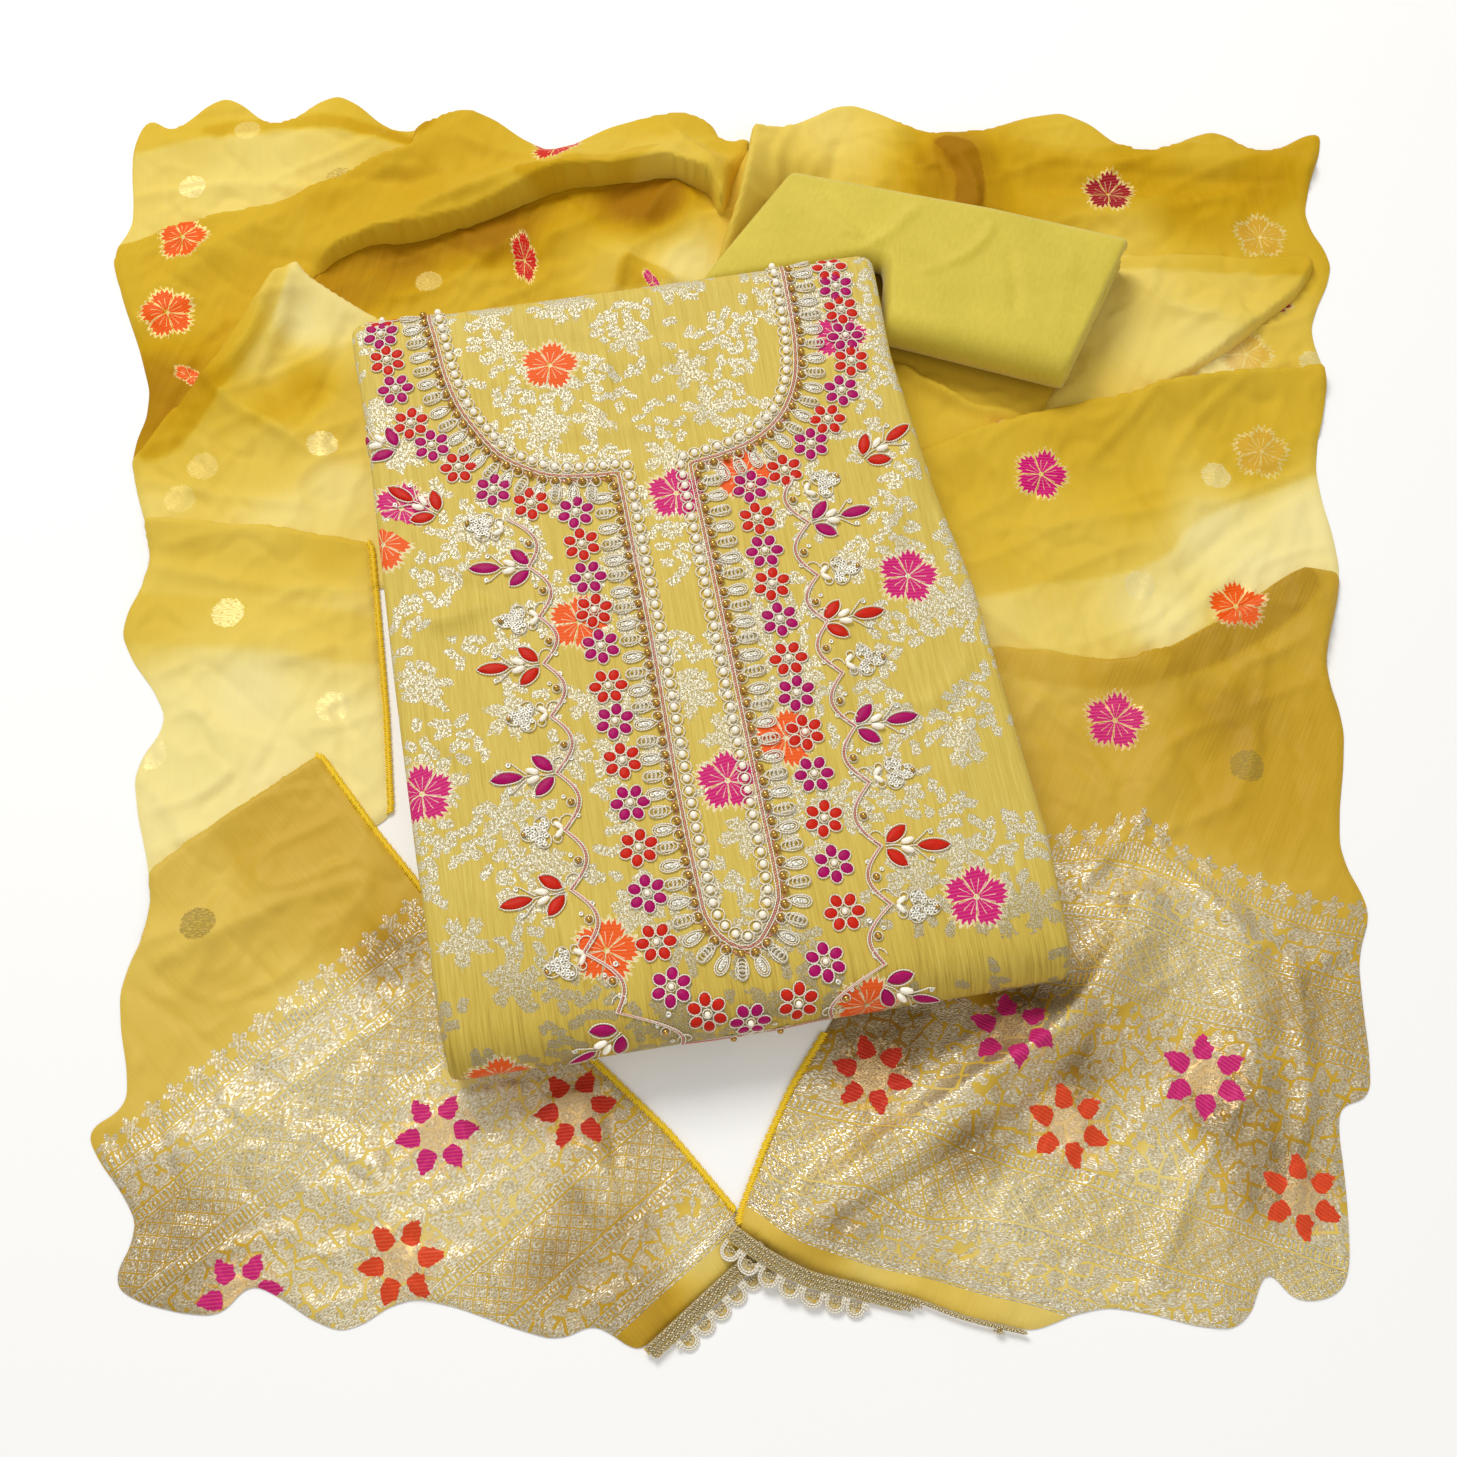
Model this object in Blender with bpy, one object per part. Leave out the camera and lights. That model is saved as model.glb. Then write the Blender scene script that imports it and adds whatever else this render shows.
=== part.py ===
# Salwar kameez suit, laid out as one set: the kameez folded into a pack with its
# embroidered front on top, the salwar folded beside it, and the dupatta spread round and
# under both in folds, with its two woven end pieces (pallus) towards the viewer.
#
# Frame: +X right, +Y away from the viewer, +Z up, origin on the table under the middle of
# the set.  Tables and sizes below are millimetres; MM turns them into metres.
import math

import bpy
import numpy as np
from mathutils import Vector
from mathutils.geometry import delaunay_2d_cdt

MM = 0.001

# Driving sizes
GAP = 0.3              # between two pieces that touch
DUPATTA_WALL = 1.6     # one stretch of the dupatta
LACE_WALL = 1.2
FACET_ROOM = 0.5       # more room inside a rounded fold, whose faces are flat
CORNER_STEPS = (0.0, 0.6, 2.8)   # points round a corner of the hidden layers
GROOVE = 1.7           # depth of the groove between two folded layers
CLOTH_SPACING = 20.0   # between the points of a spread stretch
LACE_SPACING = 8.0
MAIN_FOLD = 6.0        # a fold this high has an edge of the mesh along its crest
BOUNDARY_STEP = 18.0   # longest edge along a drawn outline
EDGE_CLEAR = 0.5       # shares of the spacing: free points from an outline,
CREST_CLEAR = 0.3      # a crest's points from an outline or another crest,
CREST_BARE = 0.55      # free points from a crest,
CREST_STEP = 0.8       # and a crest's points from each other
CURVE_STEPS = 3        # points to each row of a smooth run
SHARP_ANGLE = 50.0     # degrees between two faces that meet in a hard edge
CELL = 2.0             # of the height map that the stretches are draped over
MAP_LOW = (-392.0, -340.0)
MAP_CELLS = (392, 396)
DRAPE_SLOPE = 0.32     # steepest fall of a stretch that comes off an edge below it
BUNDLE_CLEAR = 3.0     # the folds flatten out this near to a folded garment,
BUNDLE_EASE = 16.0     # over this distance
LEDGE = 0.4            # least width of their rounded side
CAP_SPACING = 45.0     # between the points inside their flat top and base
SIDE_START = 3.0       # straight side of the hidden layers, behind the front fold,
SIDE_END = 1.0         # and before the rounded back edge
SIDE_LEAST = 6.0       # least run from each of their ends to the straight side
EDGE_LEAD = 9.0        # run from there until the edges of the layers show,
EDGE_TAIL = 6.0        # and from their last point to the back
LAYER_FACE = (0.3, 0.7, 0.94)    # shares of a layer's height: full edge, full edge, groove
ROUND_LEVELS = (0.87, 0.93, 0.97, 1.0)   # levels inside the outer layer's rounded edge

# Table of materials: colour, roughness, metallic
MATERIALS = {
    "dupatta_cloth": ((0.68, 0.46, 0.03), 0.45, 0.0),
    "pallu_brocade": ((0.62, 0.47, 0.12), 0.38, 0.25),
    "lace": ((0.66, 0.56, 0.34), 0.42, 0.35),
    "kameez_brocade": ((0.64, 0.50, 0.12), 0.42, 0.1),
    "kameez_layers": ((0.55, 0.42, 0.10), 0.6, 0.0),
    "salwar_cloth": ((0.56, 0.53, 0.07), 0.55, 0.0),
}

# Outer edge of the spread dupatta, clockwise from its far left corner: a crest or a
# trough of its wavy edge in each row (x, y).
DUPATTA_EDGE = [
    (-364, 414), (-347, 406), (-318, 432), (-283, 409), (-247, 434), (-205, 403),
    (-163, 423), (-113, 390), (-75, 408), (-32, 420), (-10, 410), (-1, 396),
    (47, 413), (79, 426), (137, 401), (210, 420), (255, 387), (303, 405),
    (332, 387), (371, 403), (353, 342), (364, 302), (346, 257), (350, 218),
    (336, 160), (341, 97), (326, 39), (330, -3), (319, -66), (329, -101),
    (320, -130), (317, -193), (300, -203), (298, -245), (292, -285), (268, -292),
    (255, -279), (237, -305), (179, -295), (137, -307), (110, -301), (88, -294.5),
    (73, -304), (42, -313), (-6, -317), (-39, -316), (-63, -303), (-84, -309),
    (-147, -291),
    (-182, -306), (-224, -285), (-242, -299), (-289, -287), (-284, -256),
    (-313, -216), (-296, -198), (-307, -145), (-297, -98), (-315, -29),
    (-303, 7), (-333, 55), (-323, 102), (-342, 165), (-338, 213), (-371, 302),
    (-364, 334), (-371, 386),
]

# End edge of each pallu, from its inner corner outwards; its lace starts from this edge.
PALLU_ENDS = {
    "left": [(15, -264.5), (1, -277), (-40, -313.5)],
    "right": [(3.5, -258), (20, -269.5), (40, -279), (62, -284), (88, -290.5),
              (112, -299), (141, -305.5)],
}

# Stretches of the dupatta, the lowest first.  "outline" is the stretch's own outline in
# plan, cut by the dupatta's outer edge; "folds" holds one run for each fold, with a row
# (x, y, height, reach to its left, reach to its right) for each station along it.
STRETCHES = {
    "dupatta_corner": {
        "outline": [(-395, 280), (-395, 460), (-170, 460), (-170, 372), (-225, 340),
                    (-270, 318), (-330, 300)],
        "folds": [
            [(-372, 385, 4, 14, 22), (-311, 399, 5, 12, 24), (-252, 404, 7, 12, 26),
             (-196, 388, 9, 12, 26)],
        ],
    },
    "dupatta_back": {
        "outline": [(-275, 318), (-262, 250), (-200, 195), (-90, 212), (45, 240),
                    (40, 300), (28, 352), (16, 392), (-10, 392), (-40, 385), (-135, 362),
                    (-215, 336)],
        "folds": [
            [(-52, 330, 9, 22, 20), (-34, 352, 12, 20, 20), (-10, 326, 8, 20, 16)],
            [(-62, 300, 10, 14, 14), (-44, 282, 7, 14, 14)],
            [(-150, 312, 5, 30, 26), (-95, 330, 6, 30, 26)],
        ],
    },
    "dupatta_back_left": {
        "outline": [(-395, 120), (-395, 312), (-360, 319), (-339, 331), (-307, 340),
                    (-267, 345), (-250, 362), (-222, 377), (-196, 384), (-196, 460),
                    (18, 460), (13, 392), (3, 366), (-1, 340), (-5, 331), (-12, 352),
                    (-37, 361), (-70, 362), (-103, 357), (-130, 341), (-156, 328),
                    (-191, 318), (-217, 315), (-237, 304), (-262, 276), (-285, 222),
                    (-305, 180), (-318, 120)],
        "folds": [
            [(-345, 334, 3, 10, 18), (-267, 347, 5, 10, 24), (-205, 384, 7, 12, 26)],
            [(-362, 246, 3, 12, 14), (-331, 287, 6, 12, 20), (-287, 320, 9, 14, 26),
             (-250, 350, 7, 14, 28)],
            [(-237, 306, 12, 26, 16), (-191, 320, 17, 24, 14), (-130, 345, 20, 24, 14),
             (-60, 364, 22, 26, 14), (-12, 356, 20, 24, 14), (-4, 338, 12, 18, 12)],
            [(-210, 330, 6, 18, 14), (-150, 352, 10, 18, 14), (-100, 368, 8, 16, 14)],
            [(-37, 404, 8, 16, 22), (-8, 364, 8, 16, 18)],
        ],
    },
    "dupatta_shoulder": {
        "outline": [(-400, 112), (-340, 168), (-329, 187), (-319, 199), (-304, 223),
                    (-289, 257), (-272, 283), (-256, 297), (-248, 286), (-232, 277),
                    (-206, 262), (-186, 215), (-168, 120), (-168, 84), (-400, 84)],
        "folds": [
            [(-336, 172, 6, 10, 22), (-304, 223, 9, 10, 26), (-262, 290, 12, 10, 24)],
            [(-306, 219, 4, 12, 12), (-259, 184, 6, 14, 12), (-236, 168, 3, 12, 12)],
            [(-266, 280, 7, 16, 12), (-286, 230, 6, 14, 12), (-301, 205, 3, 12, 10)],
        ],
    },
    "dupatta_left_panel": {
        "outline": [(-380, 127), (-323, 126), (-262, 123), (-200, 112), (-192, 60),
                    (-184, 8), (-177, -50), (-228, -86), (-275, -118), (-380, -118)],
        "folds": [
            [(-330, 124, 5, 10, 20), (-262, 120, 6, 10, 22), (-204, 110, 5, 10, 18)],
            [(-198, 100, 2, 8, 12), (-181, -30, 2, 8, 12)],
            [(-325, 62, 3, 24, 24), (-240, 48, 4, 26, 26), (-200, 40, 3, 20, 20)],
        ],
    },
    "dupatta_left_pallu": {
        "outline": [(-380, -140), (-300, -80), (-260, -48), (-218, -15), (-186, -57),
                    (-155, -94), (-108, -140), (-60, -185), (-29, -214), (3, -251),
                    *PALLU_ENDS["left"], (-90, -345), (-380, -345)],
        "folds": [
            [(-302, -86, 5, 16, 10), (-260, -54, 6, 18, 10), (-219, -20, 6, 18, 10)],
            [(-285, -128, 3, 20, 20), (-225, -96, 4, 22, 22), (-180, -78, 3, 18, 18)],
            [(-72, -205, 5, 16, 14), (-52, -250, 7, 16, 16), (-44, -290, 5, 14, 14)],
            [(-245, -215, 3, 24, 24), (-180, -245, 4, 26, 26), (-130, -280, 4, 20, 22)],
        ],
    },
    "dupatta_left_lace": {"lace": "left"},
    "dupatta_back_right": {
        "outline": [(14, 460), (13, 392), (10, 368), (5, 341), (-1, 323), (-8, 300),
                    (10, 262), (60, 232), (92, 205), (108, 158), (250, 172), (395, 190),
                    (395, 460)],
        "folds": [
            [(14, 400, 6, 12, 14), (8, 358, 8, 12, 14), (-1, 318, 4, 10, 12)],
            [(150, 392, 8, 18, 22), (207, 379, 9, 18, 24), (250, 375, 9, 18, 24),
             (304, 379, 8, 16, 22), (368, 374, 7, 16, 20)],
            [(105, 398, 9, 16, 20), (112, 364, 11, 18, 18)],
            [(136, 390, 11, 14, 16), (148, 366, 12, 14, 14), (146, 338, 8, 12, 12)],
            [(170, 340, 4, 20, 18), (232, 340, 6, 22, 20), (300, 336, 5, 22, 20)],
        ],
    },
    "dupatta_right_flap": {
        "outline": [(224, 312), (238, 308), (279, 308), (314, 306), (353, 308), (352, 296),
                    (338, 276), (321, 262), (304, 247), (270, 222), (250, 211),
                    (216, 176), (186, 178), (184, 202), (204, 240), (214, 270)],
        "folds": [
            [(236, 300, 4, 12, 16), (279, 301, 6, 10, 20), (346, 302, 5, 10, 18)],
            [(348, 296, 6, 16, 10), (306, 250, 9, 20, 10), (262, 216, 7, 16, 10)],
            [(232, 289, 6, 14, 10), (259, 272, 7, 14, 10), (304, 257, 6, 12, 10)],
        ],
    },
    "dupatta_right_middle": {
        "outline": [(96, 166), (132, 182), (154, 190), (192, 200), (228, 205), (247, 212),
                    (269, 216), (304, 223), (346, 229), (395, 236), (395, 52),
                    (310, 52), (230, 6), (128, 12), (118, 90)],
        "folds": [
            [(128, 178, 7, 10, 26), (192, 198, 9, 10, 28), (247, 209, 9, 10, 28),
             (304, 220, 8, 10, 26), (356, 228, 6, 10, 24)],
            [(247, 208, 5, 12, 12), (226, 184, 4, 14, 12), (206, 164, 2, 12, 12)],
            [(175, 88, 3, 16, 16), (204, 62, 4, 16, 16), (222, 42, 5, 14, 14)],
            [(142, 100, 3, 26, 26), (200, 110, 4, 30, 30), (262, 132, 3, 30, 30)],
        ],
    },
    "dupatta_right_pallu": {
        "outline": [(122, 46), (150, 48), (180, 43), (215, 38), (240, 47), (262, 59),
                    (290, 77), (316, 95), (345, 94), (395, 92), (395, -345),
                    (190, -345), *PALLU_ENDS["right"][::-1], (8, -246), (18, -220),
                    (31, -192), (48, -165), (84, -106), (112, -50), (118, 0)],
        "folds": [
            [(146, 44, 5, 10, 18), (218, 35, 7, 10, 20), (268, 58, 6, 10, 20),
             (316, 91, 8, 10, 18)],
            [(228, 36, 6, 16, 16), (238, 0, 6, 22, 18), (218, -45, 5, 20, 18)],
            [(318, 90, 6, 20, 12), (322, 30, 4, 24, 14)],
            [(214, -98, 12, 16, 16), (192, -140, 17, 26, 17), (140, -182, 20, 32, 18),
             (84, -226, 18, 32, 18), (34, -262, 9, 22, 14)],
            [(180, -96, 6, 10, 12), (222, -102, 9, 10, 14), (258, -112, 7, 10, 16)],
            [(262, -116, 6, 16, 18), (262, -190, 6, 20, 22), (250, -262, 4, 20, 20)],
        ],
    },
    "dupatta_right_lace": {"lace": "right"},
}

# Lace along the end of each pallu: a woven strip with a row of open scallops.
LACE_STRIP = 8.0        # width of the solid strip
SCALLOP_PITCH = 10.0
SCALLOP_RADIUS = 4.9    # outer radius of one scallop
SCALLOP_REACH = 3.4     # straight part between the strip and the scallop's half circle
SCALLOP_THREAD = 2.0    # width of the thread round its opening
SCALLOP_FACETS = 5      # edges round the half circle of one scallop
LACE_RUNS = {
    # way: 1 where the open side lies to the left of the pallu's end edge as listed
    "left": {"way": 1, "scallops": 6},
    "right": {"way": -1, "scallops": 7},
}

# Folded garments.  Each has a frame of its own, turned about its middle: u along its
# width, v along its length, the front fold at low v.
KAMEEZ = {
    "middle": (-26.75, 37.9),
    "turn": 9.5,
    "outline_left": [(-215, -143), (-185, -144), (-100, -147), (0, -149), (150, -150),
                     (205, -153), (225, -153)],
    "outline_right": [(-215, 162), (-185, 163), (-140, 165), (-100, 163), (0, 159),
                      (60, 151), (150, 145), (205, 147), (225, 147)],
    "front_edge": [(-160, -211), (160, -211)],
    "back_edge": 222.0,
    "height": [(0.0, 38.5), (1.0, 38.5)],
    "side_radius": 5.5,
    "side_skirt": 4.5,
    "back_radius": 12.0,
    "back_skirt": 4.0,
    "columns": 18,
    "rows": 25,
    "column_step": 2,
    "fold_steps": 8,
    "side_points": 8,
    "wall": 1.6,
    "front_turn": 165.0,
    "layers": [(0.0, 0.6), (0.17, -1.2), (0.36, 0.3), (0.54, -0.6)],
    "creases": [
        [(-146, 172, 1.6, 16, 16), (-60, 165, 1.2, 18, 18), (40, 172, 1.0, 16, 16)],
        [(-146, 20, 1.4, 14, 14), (-90, 30, 1.0, 14, 14)],
        [(70, -40, 1.3, 30, 30), (120, 40, 1.6, 26, 26), (146, 90, 1.0, 20, 20)],
        [(-130, -120, 1.2, 24, 24), (-70, -160, 1.4, 24, 24)],
    ],
}
# Middle line of the raised embroidery, down the left of the neck, round the slit and up.
EMBROIDERY = {
    "line": [(-121, 224), (-117, 176), (-104, 144), (-78, 108), (-48, 84), (-31, 56),
             (-30, -60), (-30, -140), (-16, -184), (8, -196), (32, -184), (40, -140),
             (38, -60), (38, 56), (56, 90), (82, 112), (98, 140), (106, 176),
             (108, 224)],
    "half_width": 26.0,
    "shoulder": 7.0,
    "raise": 1.0,
}
SALWAR = {
    "middle": (110.0, 280.0),
    "turn": -16.5,
    "outline_left": [(-51, -121), (-22, -113), (50, -90)],
    "outline_right": [(-51, 99), (52, 115)],
    "front_edge": [(-125, -51), (-100, -38), (-44, -10), (-32, -2), (-23, -1), (-17, -7),
                   (4, -50), (120, -51)],
    "back_edge": 52.0,
    "height": [(0.0, 19.0), (0.35, 24.0), (0.6, 28.0), (1.0, 29.0)],
    "side_radius": 3.6,
    "side_skirt": 2.6,
    "back_radius": 7.5,
    "back_skirt": 3.0,
    "columns": 12,
    "rows": 5,
    "column_step": 1,
    "fold_steps": 5,
    "side_points": 2,
    "wall": 2.2,
    "front_turn": 160.0,
    "layers": [(0.0, 0.4), (0.26, -1.2), (0.54, 0.2)],
    "creases": [
        [(-8, 44, 1.8, 7, 9), (-22, 14, 1.4, 7, 9)],
        [(36, 40, 1.2, 6, 8), (30, 6, 1.6, 6, 8), (6, -10, 1.2, 6, 8)],
        [(88, 30, 1.6, 10, 12), (92, -28, 1.8, 10, 12)],
    ],
}


# ---------------------------------------------------------------- curves and outlines
def smooth_run(rows, steps, closed):
    """Points on a smooth curve through the rows, with every column carried along."""
    rows = np.array(rows, float)
    count = len(rows)
    spans = count if closed else count - 1
    points = []
    for i in range(spans):
        if closed:
            p0, p1, p2, p3 = (rows[(i + k) % count] for k in (-1, 0, 1, 2))
        else:
            p0, p1, p2, p3 = (rows[min(max(i + k, 0), count - 1)] for k in (-1, 0, 1, 2))
        for step in range(steps):
            t = step / steps
            points.append(0.5 * (2 * p1 + (p2 - p0) * t
                                 + (2 * p0 - 5 * p1 + 4 * p2 - p3) * t ** 2
                                 + (3 * p1 - p0 - 3 * p2 + p3) * t ** 3))
    if not closed:
        points.append(rows[-1])
    return np.array(points)


def split_edges(loop, longest):
    """The closed loop with extra points, so that no edge is longer than asked."""
    points = []
    for start, end in zip(loop, np.roll(loop, -1, axis=0)):
        pieces = max(1, math.ceil(np.linalg.norm(end - start) / longest))
        points += [start + (end - start) * k / pieces for k in range(pieces)]
    return np.array(points)


def inside(points, loop):
    """Which of the points lie inside the closed loop."""
    x, y = points[:, 0], points[:, 1]
    result = np.zeros(len(points), bool)
    for (x1, y1), (x2, y2) in zip(loop, np.roll(loop, -1, axis=0)):
        if y1 == y2:
            continue
        crosses = ((y1 > y) != (y2 > y)) & (x < (x2 - x1) * (y - y1) / (y2 - y1) + x1)
        result ^= crosses
    return result


def grown(loop, distance):
    """The closed loop, anticlockwise, with every corner moved out by the distance."""
    back, ahead = loop - np.roll(loop, 1, axis=0), np.roll(loop, -1, axis=0) - loop
    back /= np.linalg.norm(back, axis=1)[:, None]
    ahead /= np.linalg.norm(ahead, axis=1)[:, None]
    out = np.column_stack([back[:, 1] + ahead[:, 1], -back[:, 0] - ahead[:, 0]])
    return loop + distance * out / np.linalg.norm(out, axis=1)[:, None]


def edge_distance(points, loop):
    """Distance of each point from the nearest edge of the closed loop."""
    nearest = np.full(len(points), np.inf)
    for start, end in zip(loop, np.roll(loop, -1, axis=0)):
        along = end - start
        t = np.clip((points - start) @ along / max(along @ along, 1e-9), 0, 1)
        away = points - start - t[:, None] * along
        nearest = np.minimum(nearest, np.hypot(away[:, 0], away[:, 1]))
    return nearest


def run_distance(points, run):
    """Distance of each point from the nearest part of an open run."""
    nearest = np.full(len(points), np.inf)
    for start, end in zip(run[:-1], run[1:]):
        nearest = np.minimum(nearest, edge_distance(points, np.array([start, end])))
    return nearest


def fold_height(points, folds):
    """Height that the folds add at each point: a smooth bell across each fold's run."""
    total = np.zeros(len(points))
    for rows in folds:
        run = smooth_run(rows, CURVE_STEPS, False)
        height = np.zeros(len(points))
        for start, end in zip(run[:-1], run[1:]):
            along = end[:2] - start[:2]
            t = np.clip((points - start[:2]) @ along / (along @ along), 0, 1)
            away = points - start[:2] - t[:, None] * along
            left = along[0] * away[:, 1] - along[1] * away[:, 0] > 0
            station = start + t[:, None] * (end - start)
            reach = np.where(left, station[:, 3], station[:, 4])
            across = np.minimum(np.hypot(away[:, 0], away[:, 1]) / reach, 1)
            bell = station[:, 2] * 0.5 * (1 + np.cos(math.pi * across))
            height = np.maximum(height, bell)
        total += height
    return total


def local_to_plan(u, v, garment):
    """From a folded garment's own frame to the plan."""
    turn = math.radians(garment["turn"])
    x0, y0 = garment["middle"]
    return (x0 + u * math.cos(turn) - v * math.sin(turn),
            y0 + u * math.sin(turn) + v * math.cos(turn))


def read_table(rows, at):
    """Straight-line reading of a two-column table."""
    return np.interp(at, [row[0] for row in rows], [row[1] for row in rows])


def footprint(garment):
    """Outline in plan of a folded garment, on the table."""
    corners = []
    for u in (garment["outline_left"][0][1], *[row[0] for row in garment["front_edge"][1:-1]],
              garment["outline_right"][0][1]):
        corners.append((u, read_table(garment["front_edge"], u)))
    for v, u in garment["outline_right"][1:-1]:
        corners.append((u, v))
    corners.append((garment["outline_right"][-1][1], garment["back_edge"]))
    corners.append((garment["outline_left"][-1][1], garment["back_edge"]))
    for v, u in reversed(garment["outline_left"][1:-1]):
        corners.append((u, v))
    return np.array([local_to_plan(u, v, garment) for u, v in corners])


# ------------------------------------------------------------------ meshes and the pile
def evenly_spaced(run, spacing):
    """The run's points, read again at even distances along it."""
    steps = np.hypot(*np.diff(run, axis=0).T)
    travelled = np.concatenate([[0.0], np.cumsum(steps)])
    at = np.linspace(0, travelled[-1], max(2, round(travelled[-1] / spacing) + 1))
    return np.column_stack([np.interp(at, travelled, run[:, k]) for k in (0, 1)])


def plan_mesh(outlines, holes, spacing, crests=()):
    """Triangles in plan that fill the area inside every outline and outside the holes,
    with edges along the crests of its main folds."""
    loops = [split_edges(loop, BOUNDARY_STEP) for loop in outlines] + list(holes)
    low = np.min([loop.min(axis=0) for loop in outlines], axis=0)
    high = np.max([loop.max(axis=0) for loop in outlines], axis=0)
    row_step = spacing * math.sqrt(3) / 2
    lattice = []
    for j in range(int((high[1] - low[1]) / row_step) + 2):
        for i in range(int((high[0] - low[0]) / spacing) + 2):
            lattice.append((low[0] + spacing * (i + 0.5 * (j % 2)),
                            low[1] + row_step * j))
    lattice = np.array(lattice)
    keep = np.ones(len(lattice), bool)
    for loop in outlines:
        keep &= inside(lattice, loop)
    for loop in holes:
        keep &= ~inside(lattice, loop)
    lattice = lattice[keep]
    for loop in loops:
        lattice = lattice[edge_distance(lattice, loop) > EDGE_CLEAR * spacing]

    edges = []
    first = 0
    for loop in loops:
        count = len(loop)
        edges += [(first + k, first + (k + 1) % count) for k in range(count)]
        first += count
    lines = []
    for crest in crests:
        line = evenly_spaced(crest, CREST_STEP * spacing)
        keep = np.ones(len(line), bool)
        for loop in outlines:
            keep &= inside(line, loop)
        for loop in loops:
            keep &= edge_distance(line, loop) > CREST_CLEAR * spacing
        for earlier in lines:
            keep &= run_distance(line, earlier) > CREST_CLEAR * spacing
        line = line[keep]
        if len(line) < 2:
            continue
        lattice = lattice[run_distance(lattice, line) > CREST_BARE * spacing]
        lines.append(line)
        edges += [(first + k, first + k + 1) for k in range(len(line) - 1)
                  if np.linalg.norm(line[k + 1] - line[k]) < spacing]
        first += len(line)
    points = np.vstack(loops + lines + [lattice])
    flat, _, faces, *_ = delaunay_2d_cdt([Vector(p) for p in points], edges, [], 0, 1e-4)
    flat = np.array([tuple(p) for p in flat])
    faces = np.array(faces)
    middles = flat[faces].mean(axis=1)
    keep = np.ones(len(faces), bool)
    for loop in outlines:
        keep &= inside(middles, loop)
    for loop in holes:
        keep &= ~inside(middles, loop)
    faces = faces[keep]
    one, two = flat[faces[:, 1]] - flat[faces[:, 0]], flat[faces[:, 2]] - flat[faces[:, 0]]
    clockwise = one[:, 0] * two[:, 1] - one[:, 1] * two[:, 0] < 0
    faces[clockwise] = faces[clockwise][:, ::-1]
    used, renumbered = np.unique(faces, return_inverse=True)
    return flat[used], renumbered.reshape(-1, 3)


class Pile:
    """Heights of what already lies on the table, on a fine square grid."""

    def __init__(self):
        self.low = np.array(MAP_LOW)
        self.shape = MAP_CELLS
        self.top = np.zeros(self.shape)

    def covered(self, corners):
        """Cells under a triangle in plan, and each cell's three corner weights."""
        low = np.maximum(((corners.min(axis=0) - self.low) / CELL).astype(int) - 1, 0)
        high = ((corners.max(axis=0) - self.low) / CELL).astype(int) + 2
        i, j = np.meshgrid(np.arange(low[0], high[0]), np.arange(low[1], high[1]),
                           indexing="ij")
        i, j = i.ravel(), j.ravel()
        spots = self.low + CELL * (np.stack([i, j], axis=1) + 0.5)
        a, b, c = corners
        area = (b[0] - a[0]) * (c[1] - a[1]) - (b[1] - a[1]) * (c[0] - a[0])
        if abs(area) < 1e-6:
            return i[:0], j[:0], np.zeros((0, 3))
        wb = ((spots[:, 0] - a[0]) * (c[1] - a[1])
              - (spots[:, 1] - a[1]) * (c[0] - a[0])) / area
        wc = ((b[0] - a[0]) * (spots[:, 1] - a[1])
              - (b[1] - a[1]) * (spots[:, 0] - a[0])) / area
        weights = np.stack([1 - wb - wc, wb, wc], axis=1)
        near = weights.min(axis=1) > -0.02
        return i[near], j[near], weights[near]

    def lay(self, flat, faces, top):
        for face in faces:
            i, j, weights = self.covered(flat[face])
            np.maximum.at(self.top, (i, j), weights @ top[face])

    def support(self):
        """Lowest height for the underside of the next piece, a cell wider all round."""
        wide = self.top.copy()
        for _ in range(2):
            padded = np.pad(wide, 1)
            wide = np.max([padded[i:i + self.shape[0], j:j + self.shape[1]]
                           for i in range(3) for j in range(3)], axis=0)
        return np.where(wide > 0, wide + GAP, 0)

    def drape(self):
        """The support, with cloth slopes down from every edge instead of steps."""
        sheet = self.support()
        fall = DRAPE_SLOPE * CELL
        for _ in range(int(sheet.max() / fall) + 1):
            for axis in (0, 1):
                for way in (-1, 1):
                    sheet = np.maximum(sheet, np.roll(sheet, way, axis=axis) - fall)
        return sheet

    def highest(self, loop):
        """Height at which a flat base with this outline comes to rest on the pile."""
        i, j = np.indices(self.shape)
        spots = self.low + CELL * (np.stack([i.ravel(), j.ravel()], axis=1) + 0.5)
        return self.top.ravel()[inside(spots, loop)].max() + GAP


def rest_on(pile, flat, faces, rise, pressed):
    """Underside heights of a stretch: draped over the pile, with its folds added, and
    lying close on it where a folded garment presses it down."""
    i, j = np.clip(((flat - pile.low) / CELL).astype(int), 0, np.array(pile.shape) - 1).T
    support = pile.support()
    under = np.where(pressed, support[i, j], pile.drape()[i, j]) + rise
    for _ in range(2):
        for face in faces:
            i, j, weights = pile.covered(flat[face])
            if len(i) == 0:
                continue
            short = (support[i, j] - weights @ under[face]).max()
            if short > 0:
                under[face] += short
    return under


def wall_shell(flat, faces, under, thickness):
    """One closed wall: its upper side, its lower side and the strip round its edges."""
    count = len(flat)
    points = np.vstack([np.column_stack([flat, under + thickness]),
                        np.column_stack([flat, under])])
    shell = [tuple(face) for face in faces]
    shell += [tuple(face[::-1] + count) for face in faces]
    directed = {(face[k], face[(k + 1) % 3]) for face in faces for k in range(3)}
    for a, b in sorted(directed):
        if (b, a) not in directed:
            shell.append((b, a, a + count, b + count))
    return points, shell


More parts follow.
